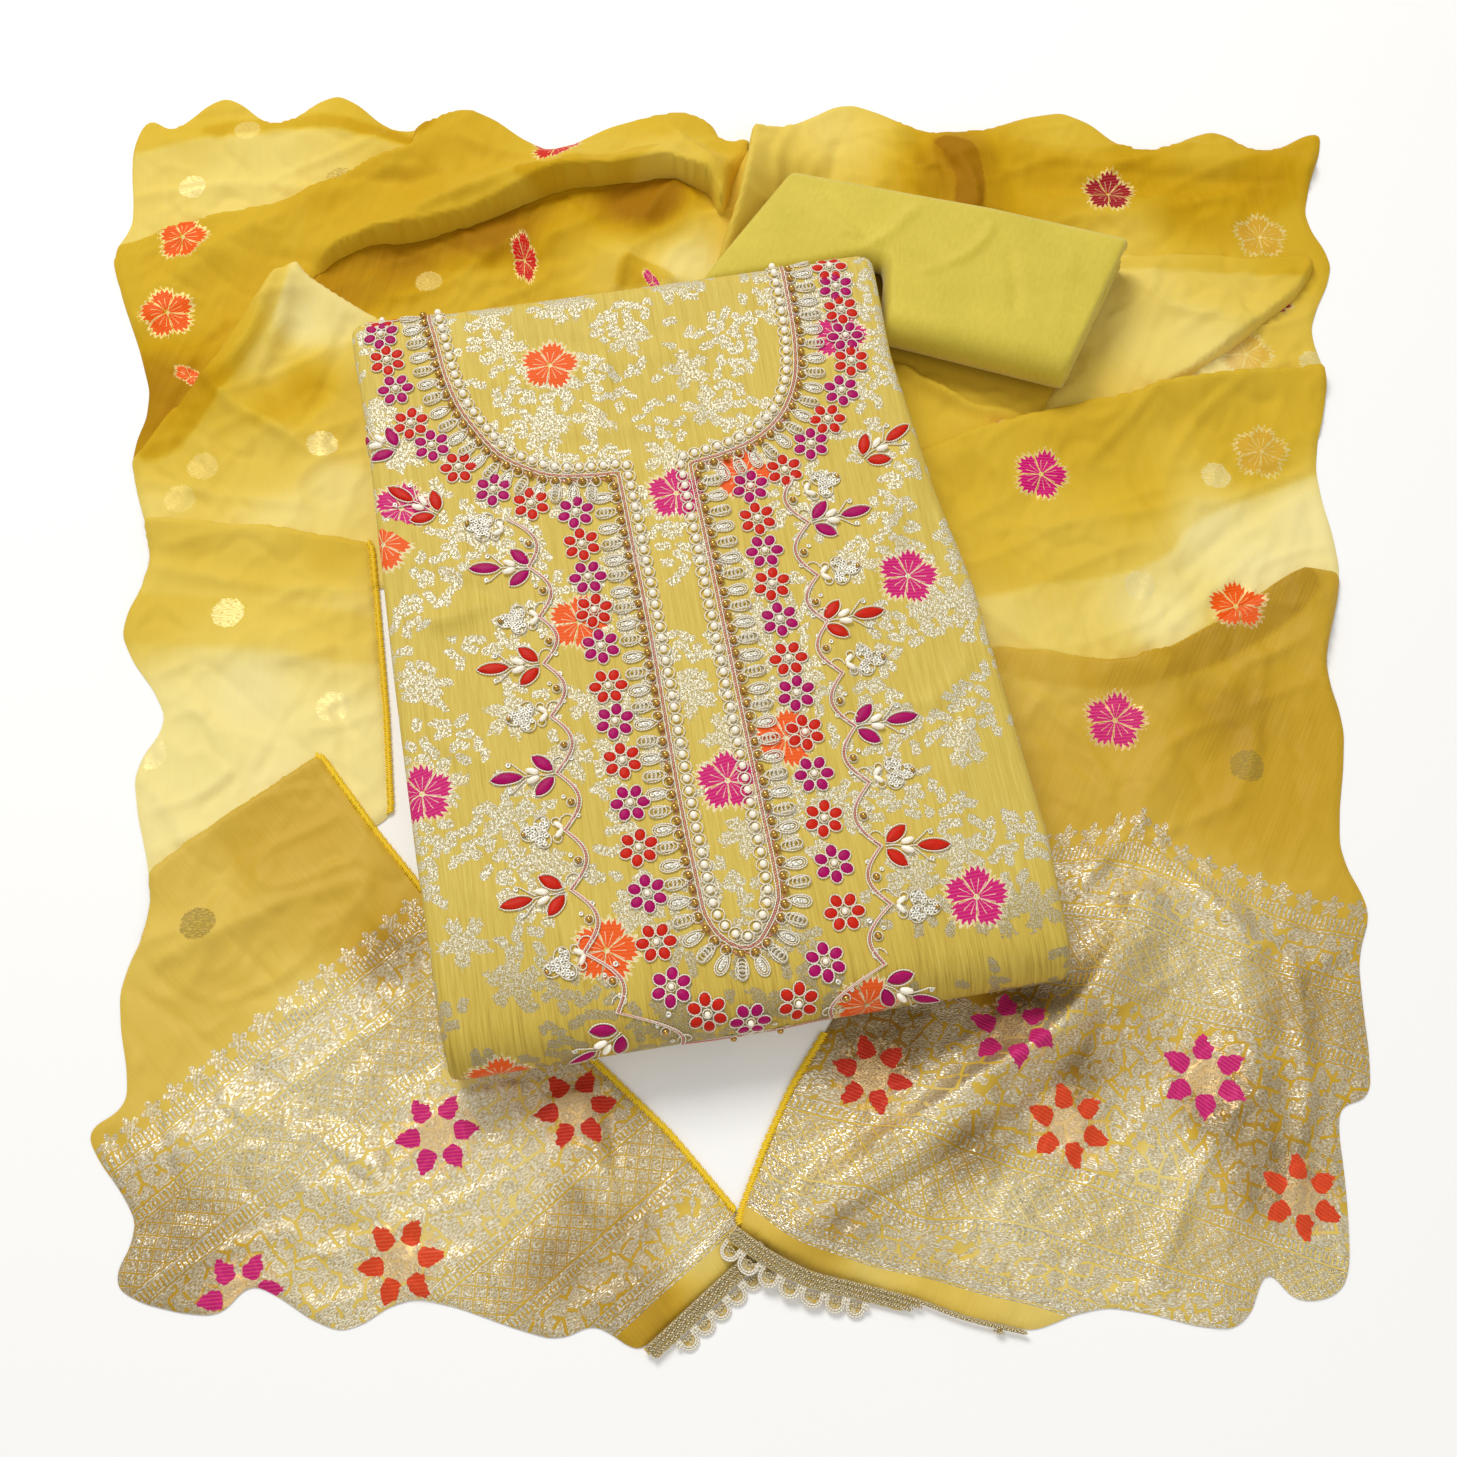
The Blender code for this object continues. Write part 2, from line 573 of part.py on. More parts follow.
def make_material(name):
    colour, roughness, metallic = MATERIALS[name]
    material = bpy.data.materials.get(name) or bpy.data.materials.new(name)
    material.use_nodes = True
    shader = material.node_tree.nodes["Principled BSDF"]
    shader.inputs["Base Color"].default_value = (*colour, 1.0)
    shader.inputs["Roughness"].default_value = roughness
    shader.inputs["Metallic"].default_value = metallic
    material.diffuse_color = (*colour, 1.0)
    return material


# ------------------------------------------------------------------------- the dupatta
def lace_outline(side):
    """Outline of one pallu's lace and the openings of its scallops, along its end edge."""
    way, count = LACE_RUNS[side]["way"], LACE_RUNS[side]["scallops"]
    edge = smooth_run(PALLU_ENDS[side], CURVE_STEPS, False)
    steps = np.diff(edge, axis=0)
    travelled = np.concatenate([[0.0], np.cumsum(np.hypot(*steps.T))])

    def at(distance, offset):
        spot = np.array([np.interp(distance, travelled, edge[:, k]) for k in (0, 1)])
        k = min(max(int(np.searchsorted(travelled, distance)) - 1, 0), len(steps) - 1)
        along = steps[k] / np.linalg.norm(steps[k])
        return spot + way * offset * np.array([-along[1], along[0]])

    length = travelled[-1]
    stations = np.linspace(0, length, 2 * count + 1)
    outline = [at(s, GAP) for s in stations[::-1]]
    holes = []
    inner_radius = SCALLOP_RADIUS - SCALLOP_THREAD
    base = LACE_STRIP + SCALLOP_REACH
    for k in range(count):
        middle = (k + 0.5) * SCALLOP_PITCH
        outline.append(at(middle - SCALLOP_RADIUS, LACE_STRIP))
        opening = [at(middle - inner_radius, LACE_STRIP), at(middle + inner_radius, LACE_STRIP)]
        for step in range(SCALLOP_FACETS + 1):
            angle = math.pi * step / SCALLOP_FACETS
            outline.append(at(middle - SCALLOP_RADIUS * math.cos(angle),
                              base + SCALLOP_RADIUS * math.sin(angle)))
            opening.append(at(middle + inner_radius * math.cos(angle),
                              base + inner_radius * math.sin(angle)))
        outline.append(at(middle + SCALLOP_RADIUS, LACE_STRIP))
        holes.append(np.array(opening))
    outline += [at(s, LACE_STRIP) for s in stations if s > count * SCALLOP_PITCH]
    return np.array(outline), holes


def make_dupatta(pile, bundles):
    """Every stretch of the dupatta in turn, each draped over those laid before it."""
    edge = smooth_run(DUPATTA_EDGE, CURVE_STEPS, True)
    rims = [grown(bundle, 0.5 * BUNDLE_CLEAR) for bundle in bundles]
    rims = [np.vstack([rim, rim[:1]]) for rim in rims]
    walls = {}
    for name, stretch in STRETCHES.items():
        if "lace" in stretch:
            outline, holes = lace_outline(stretch["lace"])
            flat, faces = plan_mesh([outline, edge], holes, LACE_SPACING)
            rise = np.zeros(len(flat))
            pressed = np.zeros(len(flat), bool)
            thickness, material = LACE_WALL, "lace"
        else:
            outline = np.array(stretch["outline"], float)
            crests = [smooth_run(rows, CURVE_STEPS, False)[:, :2] for rows in stretch["folds"]
                      if max(row[2] for row in rows) >= MAIN_FOLD]
            flat, faces = plan_mesh([outline, edge], [], CLOTH_SPACING, rims + crests)
            clear = np.min([np.where(inside(flat, bundle), 0, edge_distance(flat, bundle))
                            for bundle in bundles], axis=0)
            ease = np.clip((clear - BUNDLE_CLEAR) / BUNDLE_EASE, 0, 1)
            rise = fold_height(flat, stretch["folds"]) * ease * ease * (3 - 2 * ease)
            pressed = clear < BUNDLE_CLEAR
            thickness = DUPATTA_WALL
            material = "pallu_brocade" if name.endswith("pallu") else "dupatta_cloth"
        under = rest_on(pile, flat, faces, rise, pressed)
        pile.lay(flat, faces, under + thickness)
        walls[name] = (*wall_shell(flat, faces, under, thickness), material)
    return walls


# ------------------------------------------------------------------ the folded garments
def cross_stations(garment):
    """Stations across a garment's outer layer: (share of the width, offset outwards,
    offset along the normal, outward part and normal part of the unit normal)."""
    radius, skirt = garment["side_radius"], garment["side_skirt"]
    left = [(0.0, 0.0, -radius - skirt, -1.0, 0.0)]
    for angle in (180, 150, 120):
        c, s = math.cos(math.radians(angle)), math.sin(math.radians(angle))
        left.append((0.0, radius * (1 + c), radius * (s - 1), c, s))
    flat = [(k / garment["columns"], None, 0.0, 0.0, 1.0)
            for k in range(garment["columns"] + 1)]
    right = [(1.0, -offset, normal, -c, s) for _, offset, normal, c, s in reversed(left)]
    return left + flat + right


def front_of(garment, share):
    """Place of the front fold's outermost line at a share of the garment's width."""
    nominal = ((1 - share) * garment["outline_left"][1][1]
               + share * garment["outline_right"][1][1])
    return read_table(garment["front_edge"], nominal)


def layer_point(garment, base, row, station, depth, rise=0.0):
    """A point of the outer layer, depth inwards from its face.  The row runs from the back
    skirt (0 to 1), over the back edge (1 to 2) and the flat top (2 to 3) round the front
    fold (3 to 4)."""
    share, offset, normal, side_part, up_part = station
    height = read_table(garment["height"], share)
    front = front_of(garment, share)
    top, back, back_radius = base + height, garment["back_edge"], garment["back_radius"]
    front_radius = height / 2
    if row < 1:
        v, z, nv, nz = back, top - back_radius - garment["back_skirt"] * (1 - row), 1.0, 0.0
    elif row < 2:
        angle = math.radians(90 * (row - 1))
        nv, nz = math.cos(angle), math.sin(angle)
        v, z = back - back_radius * (1 - nv), top - back_radius * (1 - nz)
    elif row < 3:
        nv, nz = 0.0, 1.0
        v = (back - back_radius) * (3 - row) + (front + front_radius) * (row - 2)
        z = top
    else:
        angle = math.radians(90 + garment["front_turn"] * (row - 3))
        nv, nz = math.cos(angle), math.sin(angle)
        v, z = front + front_radius * (1 + nv), top - front_radius * (1 - nz)
    lift = normal - depth * up_part + rise
    v, z = v + lift * nv, z + lift * nz
    left = read_table(garment["outline_left"], v)
    right = read_table(garment["outline_right"], v)
    radius = garment["side_radius"]
    if offset is None:
        u = (left + radius) * (1 - share) + (right - radius) * share
    else:
        u = left + offset if share == 0.0 else right + offset
    return u - depth * side_part, v, z


def outer_rows(garment):
    """Row values of the outer layer's grid."""
    rows = [0.0, 1.0, 1.34, 1.67]
    rows += [2 + k / garment["rows"] for k in range(garment["rows"])]
    steps = garment["fold_steps"]
    return rows + [3 + k / steps for k in range(steps + 1)]


def embroidery_raise(u, v):
    """How far the embroidered band stands proud of the kameez's front at (u, v)."""
    line = smooth_run(EMBROIDERY["line"], CURVE_STEPS, False)
    nearest = run_distance(np.array([[u, v]]), line)[0]
    ease = np.clip((EMBROIDERY["half_width"] - nearest) / EMBROIDERY["shoulder"], 0, 1)
    return EMBROIDERY["raise"] * float(ease)


def make_outer_layer(garment, base, proud):
    """The garment's outermost layer, wrapped over its top and round its front fold."""
    stations, rows = cross_stations(garment), outer_rows(garment)
    outer, inner = [], []
    for row in rows:
        for station in stations:
            u, v, _ = layer_point(garment, base, row, station, 0.0)
            on_top = 2.0 <= row < 3.0 and station[1] is None
            crease = 0.0
            if on_top:
                edge_ease = min(1.0, (row - 2) * 8, (3 - row) * 8, station[0] * 12,
                                (1 - station[0]) * 12)
                crease = edge_ease * float(fold_height(np.array([[u, v]]),
                                                       garment["creases"])[0])
            above = crease + (proud(u, v) if station[1] is None else 0.0)
            outer.append(layer_point(garment, base, row, station, 0.0, above))
            inner.append(layer_point(garment, base, row, station, garment["wall"],
                                     crease))
    width, count = len(stations), len(outer)
    faces = []
    for r in range(len(rows) - 1):
        for c in range(width - 1):
            a = r * width + c
            b = a + width
            faces.append((a, b, b + 1, a + 1))
            faces.append((a + count, a + 1 + count, b + 1 + count, b + count))
    rim = [c for c in range(width)]
    rim += [r * width + width - 1 for r in range(1, len(rows))]
    rim += [(len(rows) - 1) * width + c for c in range(width - 2, -1, -1)]
    rim += [r * width for r in range(len(rows) - 2, 0, -1)]
    for a, b in zip(rim, rim[1:] + rim[:1]):
        faces.append((a, b, b + count, a + count))
    return np.array(outer + inner), faces


def layer_levels(garment):
    """Heights (share of the pack's height), bulges of the folded layers' edges, with a
    groove between each two layers, and the height of the next level above."""
    layers = garment["layers"] + [(1.0, 0.0)]
    levels = [(0.0, layers[0][1] - GROOVE)]
    for (low, bulge), (high, _) in zip(layers[:-1], layers[1:]):
        for share, depth in zip(LAYER_FACE, (0.0, 0.0, GROOVE)):
            levels.append((low + share * (high - low), bulge - depth))
    levels = [(level, bulge) for level, bulge in levels if level < ROUND_LEVELS[0]]
    levels += [(level, 0.0) for level in ROUND_LEVELS]
    heights = [level for level, _ in levels]
    return [(level, bulge, above) for (level, bulge), above
            in zip(levels, heights[1:] + [1.0])]


def rounded_in(radius, inset, over):
    """How far a rounded edge's inner face draws in, over millimetres above its centre."""
    inner = radius - inset
    return inset + (inner - math.sqrt(max(inner ** 2 - over ** 2, 0.0)) if over > 0 else 0.0)


def layer_limits(garment, level, bulge, above, share):
    """Front and back ends of the hidden layers at one height over the garment's base, the
    side offset that their edges show with, and the front fold's centre line."""
    wall = garment["wall"]
    inset = wall + GAP + FACET_ROOM
    height = read_table(garment["height"], share)
    inner_height = height - wall - GAP
    z, next_z = level * inner_height, above * inner_height
    front_centre = front_of(garment, share) + height / 2
    bow = (height / 2 - inset) ** 2 - (z - height / 2) ** 2
    low = front_centre - math.sqrt(max(bow, 0.0))
    back_radius, side_radius = garment["back_radius"], garment["side_radius"]
    if next_z < height - back_radius - garment["back_skirt"] - GAP:
        back = garment["back_edge"] + bulge
    else:
        back = garment["back_edge"] - rounded_in(back_radius, inset,
                                                 z - height + back_radius)
    free = next_z < height - side_radius - garment["side_skirt"] - GAP
    return z, low, back, (bulge if free else None), front_centre


def covered_side(garment, share, v, z, front_centre):
    """Side offset of the hidden layers where the outer layer's rounded side covers them."""
    height = read_table(garment["height"], share)
    inset = garment["wall"] + GAP + FACET_ROOM
    back_centre = garment["back_edge"] - garment["back_radius"]
    if v < front_centre:
        depth = height / 2 - math.hypot(v - front_centre, z - height / 2)
    elif v > back_centre and z > height - garment["back_radius"]:
        depth = garment["back_radius"] - math.hypot(
            v - back_centre, z - height + garment["back_radius"])
    elif v > back_centre:
        depth = garment["back_edge"] - v
    else:
        depth = height - z
    drawn_in = rounded_in(garment["side_radius"], inset, garment["side_radius"] - depth)
    return -min(drawn_in, garment["side_radius"] - LEDGE)


def level_cap(ring, spacing):
    """Points inside a level ring, and triangles that fill it: its own corners come first."""
    flat = np.array([point[:2] for point in ring])
    height = ring[0][2]
    low, high = flat.min(axis=0), flat.max(axis=0)
    lattice = np.array([(x, y) for x in np.arange(low[0], high[0], spacing)
                        for y in np.arange(low[1], high[1], spacing)])
    lattice = lattice[inside(lattice, flat)]
    lattice = lattice[edge_distance(lattice, flat) > EDGE_CLEAR * spacing]
    count = len(flat)
    edges = [(k, (k + 1) % count) for k in range(count)]
    points = [Vector(p) for p in np.vstack([flat, lattice])]
    found, _, faces, origins, *_ = delaunay_2d_cdt(points, edges, [], 0, 1e-4)
    found = np.array([tuple(p) for p in found])
    faces = np.array(faces)
    faces = faces[inside(found[faces].mean(axis=1), flat)]
    one, two = found[faces[:, 1]] - found[faces[:, 0]], found[faces[:, 2]] - found[faces[:, 0]]
    clockwise = one[:, 0] * two[:, 1] - one[:, 1] * two[:, 0] < 0
    faces[clockwise] = faces[clockwise][:, ::-1]
    triangles = [tuple(origins[k][0] for k in face) for face in faces]
    return [(x, y, height) for x, y in lattice], triangles


def make_layers(garment, base):
    """The rounded solid of the hidden layers, with each layer's edge showing below the
    outer layer at the back and at both sides."""
    columns, side_count = garment["columns"] // garment["column_step"], garment["side_points"]
    shares = [k / columns for k in range(columns + 1)]
    radius = garment["side_radius"]
    rings = []
    for level, bulge, above in layer_levels(garment):
        def across(share, v):
            left = read_table(garment["outline_left"], v) + radius
            right = read_table(garment["outline_right"], v) - radius
            return left * (1 - share) + right * share

        def side_run(share):
            z, low, back, proud, centre = layer_limits(garment, level, bulge, above, share)
            name, way = ("outline_right", 1) if share == 1.0 else ("outline_left", -1)
            first = centre + SIDE_START
            last = min(garment["back_edge"] - garment["back_radius"] - SIDE_END,
                       back - SIDE_LEAST)
            ends = [low + step for step in CORNER_STEPS] + [max(first, low + SIDE_LEAST)]
            middles = np.linspace(first + EDGE_LEAD, last - EDGE_TAIL, side_count)
            spots = [(v, None) for v in ends] + [(v, proud) for v in middles]
            spots += [(last, None)] + [(back - step, None) for step in CORNER_STEPS[::-1]]
            run = []
            for v, offset in spots:
                if offset is None:
                    offset = covered_side(garment, share, v, z, centre)
                run.append((read_table(garment[name], v) + way * offset, v, base + z))
            return run

        ring = []
        for share in shares:
            z, low, _, _, _ = layer_limits(garment, level, bulge, above, share)
            ring.append((across(share, low), low, base + z))
        ring += side_run(1.0)
        for share in reversed(shares):
            z, _, back, _, _ = layer_limits(garment, level, bulge, above, share)
            ring.append((across(share, back), back, base + z))
        ring += side_run(0.0)[::-1]
        rings.append(ring)
    size = len(rings[0])
    points = [point for ring in rings for point in ring]
    faces = []
    for r in range(len(rings) - 1):
        for k in range(size):
            a, b = r * size + k, r * size + (k + 1) % size
            faces.append((a, b, b + size, a + size))
    added, triangles = level_cap(rings[0], CAP_SPACING)
    order = [*range(size), *range(len(points), len(points) + len(added))]
    faces += [tuple(order[k] for k in face[::-1]) for face in triangles]
    points += added
    first = (len(rings) - 1) * size
    if len({height for _, height in garment["height"]}) == 1:
        added, triangles = level_cap(rings[-1], CAP_SPACING)
        order = [*range(first, first + size), *range(len(points), len(points) + len(added))]
        faces += [tuple(order[k] for k in face) for face in triangles]
        return np.array(points + added), faces
    side_size = side_count + 2 + 2 * len(CORNER_STEPS)
    front = [first + k for k in range(columns + 1)]
    back = [first + 2 * columns + side_size + 1 - k for k in range(columns + 1)]
    right = [first + columns + 1 + k for k in range(side_size)]
    left = [first + 2 * (columns + 1) + side_size + k for k in range(side_size)]
    faces += [(front[k], front[k + 1], back[k + 1], back[k]) for k in range(columns)]
    faces.append((front[-1], *right, back[-1]))
    faces.append((front[0], back[0], *left))
    return np.array(points), faces


def in_plan(points, garment):
    x, y = local_to_plan(points[:, 0], points[:, 1], garment)
    return np.column_stack([x, y, points[:, 2]])


def make_garment(pile, prefix, garment, cloth, inner_cloth, proud):
    """A folded garment: its hidden layers and its outer layer, resting on the pile."""
    base = pile.highest(footprint(garment))
    print(prefix, "rests at", round(base, 2), "mm")
    points, faces = make_layers(garment, base)
    outer_points, outer_faces = make_outer_layer(garment, base, proud)
    return {
        prefix + "_layers": (in_plan(points, garment), faces, inner_cloth),
        prefix + "_outer": (in_plan(outer_points, garment), outer_faces, cloth),
    }


# ------------------------------------------------------------------------------ the set
def main():
    for obj in list(bpy.data.objects):
        bpy.data.objects.remove(obj, do_unlink=True)
    bundles = [footprint(KAMEEZ), footprint(SALWAR)]
    pile = Pile()
    pieces = make_dupatta(pile, bundles)
    pieces.update(make_garment(pile, "salwar", SALWAR, "salwar_cloth", "salwar_cloth",
                               lambda u, v: 0.0))
    kameez = make_garment(pile, "kameez", KAMEEZ, "kameez_brocade", "kameez_layers",
                          embroidery_raise)
    pieces["kameez_layers"] = kameez["kameez_layers"]
    pieces["kameez_front"] = kameez["kameez_outer"]

    corners = np.vstack([points for points, _, _ in pieces.values()])
    low, high = corners.min(axis=0), corners.max(axis=0)
    middle = np.array([(low[0] + high[0]) / 2, (low[1] + high[1]) / 2, low[2]])
    print("layout shift mm", middle, "size", high - low)
    for name, (points, faces, material) in pieces.items():
        mesh = bpy.data.meshes.new(name)
        mesh.from_pydata(((points - middle) * MM).tolist(), [],
                         [[int(i) for i in face] for face in faces])
        mesh.validate()
        mesh.materials.append(make_material(material))
        mesh.shade_smooth()
        mesh.set_sharp_from_angle(angle=math.radians(SHARP_ANGLE))
        obj = bpy.data.objects.new(name, mesh)
        bpy.context.scene.collection.objects.link(obj)
        print(name, "triangles", sum(len(face) - 2 for face in faces))


main()
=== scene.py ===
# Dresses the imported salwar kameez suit: the folded kameez with its embroidered front,
# the folded salwar, and the sheer dupatta spread round both with its two woven ends.
# Tables are in millimetres on the layout plan; toRow moves them into the model's frame.
import math

import bmesh
import bpy
import numpy as np
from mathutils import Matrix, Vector
from mathutils.geometry import delaunay_2d_cdt


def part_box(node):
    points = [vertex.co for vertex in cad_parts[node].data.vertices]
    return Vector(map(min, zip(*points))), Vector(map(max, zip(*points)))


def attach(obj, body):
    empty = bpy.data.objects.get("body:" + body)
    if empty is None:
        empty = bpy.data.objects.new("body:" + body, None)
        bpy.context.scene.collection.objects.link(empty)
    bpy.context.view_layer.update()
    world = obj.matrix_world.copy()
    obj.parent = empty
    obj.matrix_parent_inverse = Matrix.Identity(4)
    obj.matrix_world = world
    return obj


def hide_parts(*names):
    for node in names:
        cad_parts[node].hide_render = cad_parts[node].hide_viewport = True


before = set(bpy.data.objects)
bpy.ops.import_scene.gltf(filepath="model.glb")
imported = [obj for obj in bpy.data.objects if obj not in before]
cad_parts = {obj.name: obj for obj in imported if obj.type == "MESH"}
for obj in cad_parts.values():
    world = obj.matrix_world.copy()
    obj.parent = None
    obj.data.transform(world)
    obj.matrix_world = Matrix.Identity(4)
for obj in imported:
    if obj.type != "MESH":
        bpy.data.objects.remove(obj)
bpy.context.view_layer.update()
mm = 0.001
layoutShift = np.array([-0.0556, 58.4905, 0.0])
studio = {"cameraPlace": (0.0001, -0.4106, 0.8500), "cameraTilt": 22.5, "lens": 42.35,
          "sensor": 36.0, "world": 0.385, "worldTint": (1, 0.99, 0.975, 1),
          "lamps": {"key": ((-0.85, 1.65, 2.35), 1.3, 58.0, (1, 0.985, 0.95)),
                    "fill": ((0.7, -1.5, 1.9), 2.0, 14.0, (1, 0.99, 0.98))},
          "floorHalf": 3.0, "floorDrop": 0.0004, "floorTone": 0.95, "floorGlow": 0.06}


def toRow(points):  # layout millimetres to the model's metres
    return (np.asarray(points, float) - layoutShift) * mm


def toLayout(points):
    return np.asarray(points, float) / mm + layoutShift


def inScene(name, data):
    obj = bpy.data.objects.new(name, data)
    bpy.context.scene.collection.objects.link(obj)
    return obj


def makeStudio():
    scene = bpy.context.scene
    scene.camera = inScene("camera", bpy.data.cameras.new("camera"))
    scene.camera.data.lens = studio["lens"]
    scene.camera.data.sensor_width = studio["sensor"]
    scene.camera.location = studio["cameraPlace"]
    scene.camera.rotation_euler = (math.radians(studio["cameraTilt"]), 0, 0)
    scene.world = bpy.data.worlds.new("studio")
    scene.world.use_nodes = True
    scene.view_settings.view_transform = "Standard"
    light = scene.world.node_tree.nodes["Background"].inputs
    light["Color"].default_value = studio["worldTint"]
    light["Strength"].default_value = studio["world"]
    for name, (place, size, power, tint) in studio["lamps"].items():
        lamp = inScene(name, bpy.data.lights.new(name, "AREA"))
        lamp.data.size, lamp.data.energy, lamp.data.color = size, power, tint
        lamp.location = place
        lamp.rotation_euler = (-Vector(place)).to_track_quat("-Z", "Y").to_euler()


def mathOf(operation, reflected=False):  # one of Python's operators as a Math node
    def apply(self, other):
        pair = (other, self) if reflected else (self, other)
        return self.graph.math(operation, *pair)
    return apply


class Value:  # a socket of a node tree; an expression on it adds its Math nodes
    __add__, __radd__ = mathOf("ADD"), mathOf("ADD", True)
    __sub__, __rsub__ = mathOf("SUBTRACT"), mathOf("SUBTRACT", True)
    __mul__, __rmul__ = mathOf("MULTIPLY"), mathOf("MULTIPLY", True)
    __truediv__, __rtruediv__ = mathOf("DIVIDE"), mathOf("DIVIDE", True)
    __gt__, __lt__ = mathOf("GREATER_THAN"), mathOf("LESS_THAN")

    def __init__(self, graph, socket):
        self.graph, self.socket = graph, socket

    def of(self, name):  # another output of the same node
        return Value(self.graph, self.socket.node.outputs[name])


class Graph:  # one node tree being built
    def __init__(self, tree):
        self.tree = tree

    def feed(self, socket, value):
        if isinstance(value, Value):
            self.tree.links.new(value.socket, socket)
        else:
            socket.default_value = value

    def make(self, kind, settings=None, inputs=None, output=0):
        node = self.tree.nodes.new(kind)
        for name, value in (settings or {}).items():
            if name == "stops":
                stops = node.color_ramp.elements
                stops.remove(stops[1])
                stops[0].position, stops[0].color = value[0]
                for place, colour in value[1:]:
                    stops.new(place).color = colour
            elif name == "blending":
                node.color_ramp.interpolation = value
            else:
                setattr(node, name, value)
        for name, value in (inputs or {}).items():
            self.feed(node.inputs[name], value)
        return Value(self, node.outputs[output])

    def math(self, operation, *values):
        return self.make("ShaderNodeMath", {"operation": operation}, dict(enumerate(values)))

    def least(self, first, second):
        return self.math("MINIMUM", first, second)

    def most(self, first, second):
        return self.math("MAXIMUM", first, second)

    def wave(self, value):  # 0 to 0.5 and back, once in each whole step of the value
        return self.math("PINGPONG", value, 0.5)

    def polar(self, x, y):  # distance and angle
        return self.math("SQRT", x * x + y * y), self.math("ARCTAN2", y, x)

    def smooth(self, value, low, high):  # 0 below low, 1 above high; low may be the larger
        if low > high:
            return 1 - self.smooth(value, high, low)
        return self.make("ShaderNodeMapRange", {"interpolation_type": "SMOOTHSTEP"},
                         {"Value": value, "From Min": low, "From Max": high})

    def band(self, value, low, high):  # 1 between two places
        return (value > low) * (value < high)

    def mix(self, factor, first, second):
        return self.make("ShaderNodeMix", {"data_type": "RGBA"},
                         {0: factor, 6: first, 7: second}, 2)

    def ramp(self, value, *stops, blending="LINEAR"):  # a stop: place, red, green, blue
        stops = [(place, rgb(*screen)) for place, *screen in stops]
        return self.make("ShaderNodeValToRGB", {"stops": stops, "blending": blending},
                         {0: value})

    def attribute(self, name, output="Fac"):
        return self.make("ShaderNodeAttribute", {"attribute_name": name}, {}, output)

    def place(self, scale, source=None, turn=(0, 0, 0)):
        source = source or self.make("ShaderNodeTexCoord", {}, {}, "Object")
        return self.make("ShaderNodeMapping", {}, {"Vector": source, "Scale": scale,
                                                   "Rotation": turn})

    def noise(self, where, scale, detail, rough=0.5):
        return self.make("ShaderNodeTexNoise", {}, {"Vector": where, "Scale": scale,
                                                    "Detail": detail, "Roughness": rough})

    def grain(self, scale, detail=2.0, rough=0.5, source=None, turn=(0, 0, 0)):
        scale = scale if isinstance(scale, tuple) else (scale,) * 3
        return self.noise(self.place(scale, source, turn), 1.0, detail, rough)

    def cells(self, where, scale, random=1.0, output="Distance", **settings):
        return self.make("ShaderNodeTexVoronoi", settings,
                         {"Vector": where, "Scale": scale, "Randomness": random}, output)

    def split(self, vector):
        node = self.make("ShaderNodeSeparateXYZ", {}, {0: vector})
        return node, node.of("Y"), node.of("Z")

    def join(self, x, y, z):
        return self.make("ShaderNodeCombineXYZ", {}, {0: x, 1: y, 2: z})

    def bump(self, height, strength, distance):
        return self.make("ShaderNodeBump", {}, {"Height": height, "Strength": strength,
                                                "Distance": distance})


def rgb(*screen):  # screen values 0 to 255 to linear
    return (*(v / 255 / 12.92 if v / 255 <= 0.04045 else ((v / 255 + 0.055) / 1.055) ** 2.4
              for v in screen), 1.0)


def material(name, finish, fixed=None):
    made = bpy.data.materials.new(name)
    made.use_nodes = True
    made.node_tree.nodes.clear()
    graph = Graph(made.node_tree)
    shader = graph.make("ShaderNodeBsdfPrincipled", {}, fixed)
    graph.feed(graph.tree.nodes.new("ShaderNodeOutputMaterial").inputs["Surface"], shader)
    for socket, value in finish(graph).items():
        graph.feed(shader.socket.node.inputs[socket], value)
    return made


# Curves in the plan.
def smoothRun(rows, steps=4, closed=False):
    rows = np.array(rows, float)
    count = len(rows)
    points = []
    for i in range(count if closed else count - 1):
        p0, p1, p2, p3 = (rows[(i + k) % count if closed else min(max(i + k, 0), count - 1)]
                          for k in (-1, 0, 1, 2))
        points += [0.5 * (2 * p1 + (p2 - p0) * t + (2 * p0 - 5 * p1 + 4 * p2 - p3) * t ** 2
                          + (3 * p1 - p0 - 3 * p2 + p3) * t ** 3)
                   for t in np.arange(steps) / steps]
    return np.array(points if closed else points + [rows[-1]])


def travel(run):  # the way to each point of a run
    return np.concatenate([[0.0], np.cumsum(np.linalg.norm(np.diff(run, axis=0), axis=1))])


def readRun(at, travelled, run):
    return np.column_stack([np.interp(at, travelled, column) for column in run.T])


def evenly(run, spacing, closed=False):
    run = np.vstack([run, run[:1]]) if closed else np.asarray(run, float)
    travelled = travel(run)
    count = max(2, round(travelled[-1] / spacing))
    points = readRun(np.linspace(0, travelled[-1], count + 1), travelled, run)
    return points[:-1] if closed else points


def turned(x, y, angle):  # places read in a frame that is turned by the angle
    c, s = math.cos(angle), math.sin(angle)
    return x * c + y * s, y * c - x * s


def inside(points, loop):
    x, y = points[:, 0], points[:, 1]
    result = np.zeros(len(points), bool)
    for (x1, y1), (x2, y2) in zip(loop, np.roll(loop, -1, axis=0)):
        if y1 != y2:
            result ^= ((y1 > y) != (y2 > y)) & (x < (x2 - x1) * (y - y1) / (y2 - y1) + x1)
    return result


def fromLine(points, start, end):  # share along a stretch, and the way off it
    along = end - start
    t = np.clip((points - start) @ along / max(along @ along, 1e-9), 0, 1)
    return t, points - start - t[:, None] * along


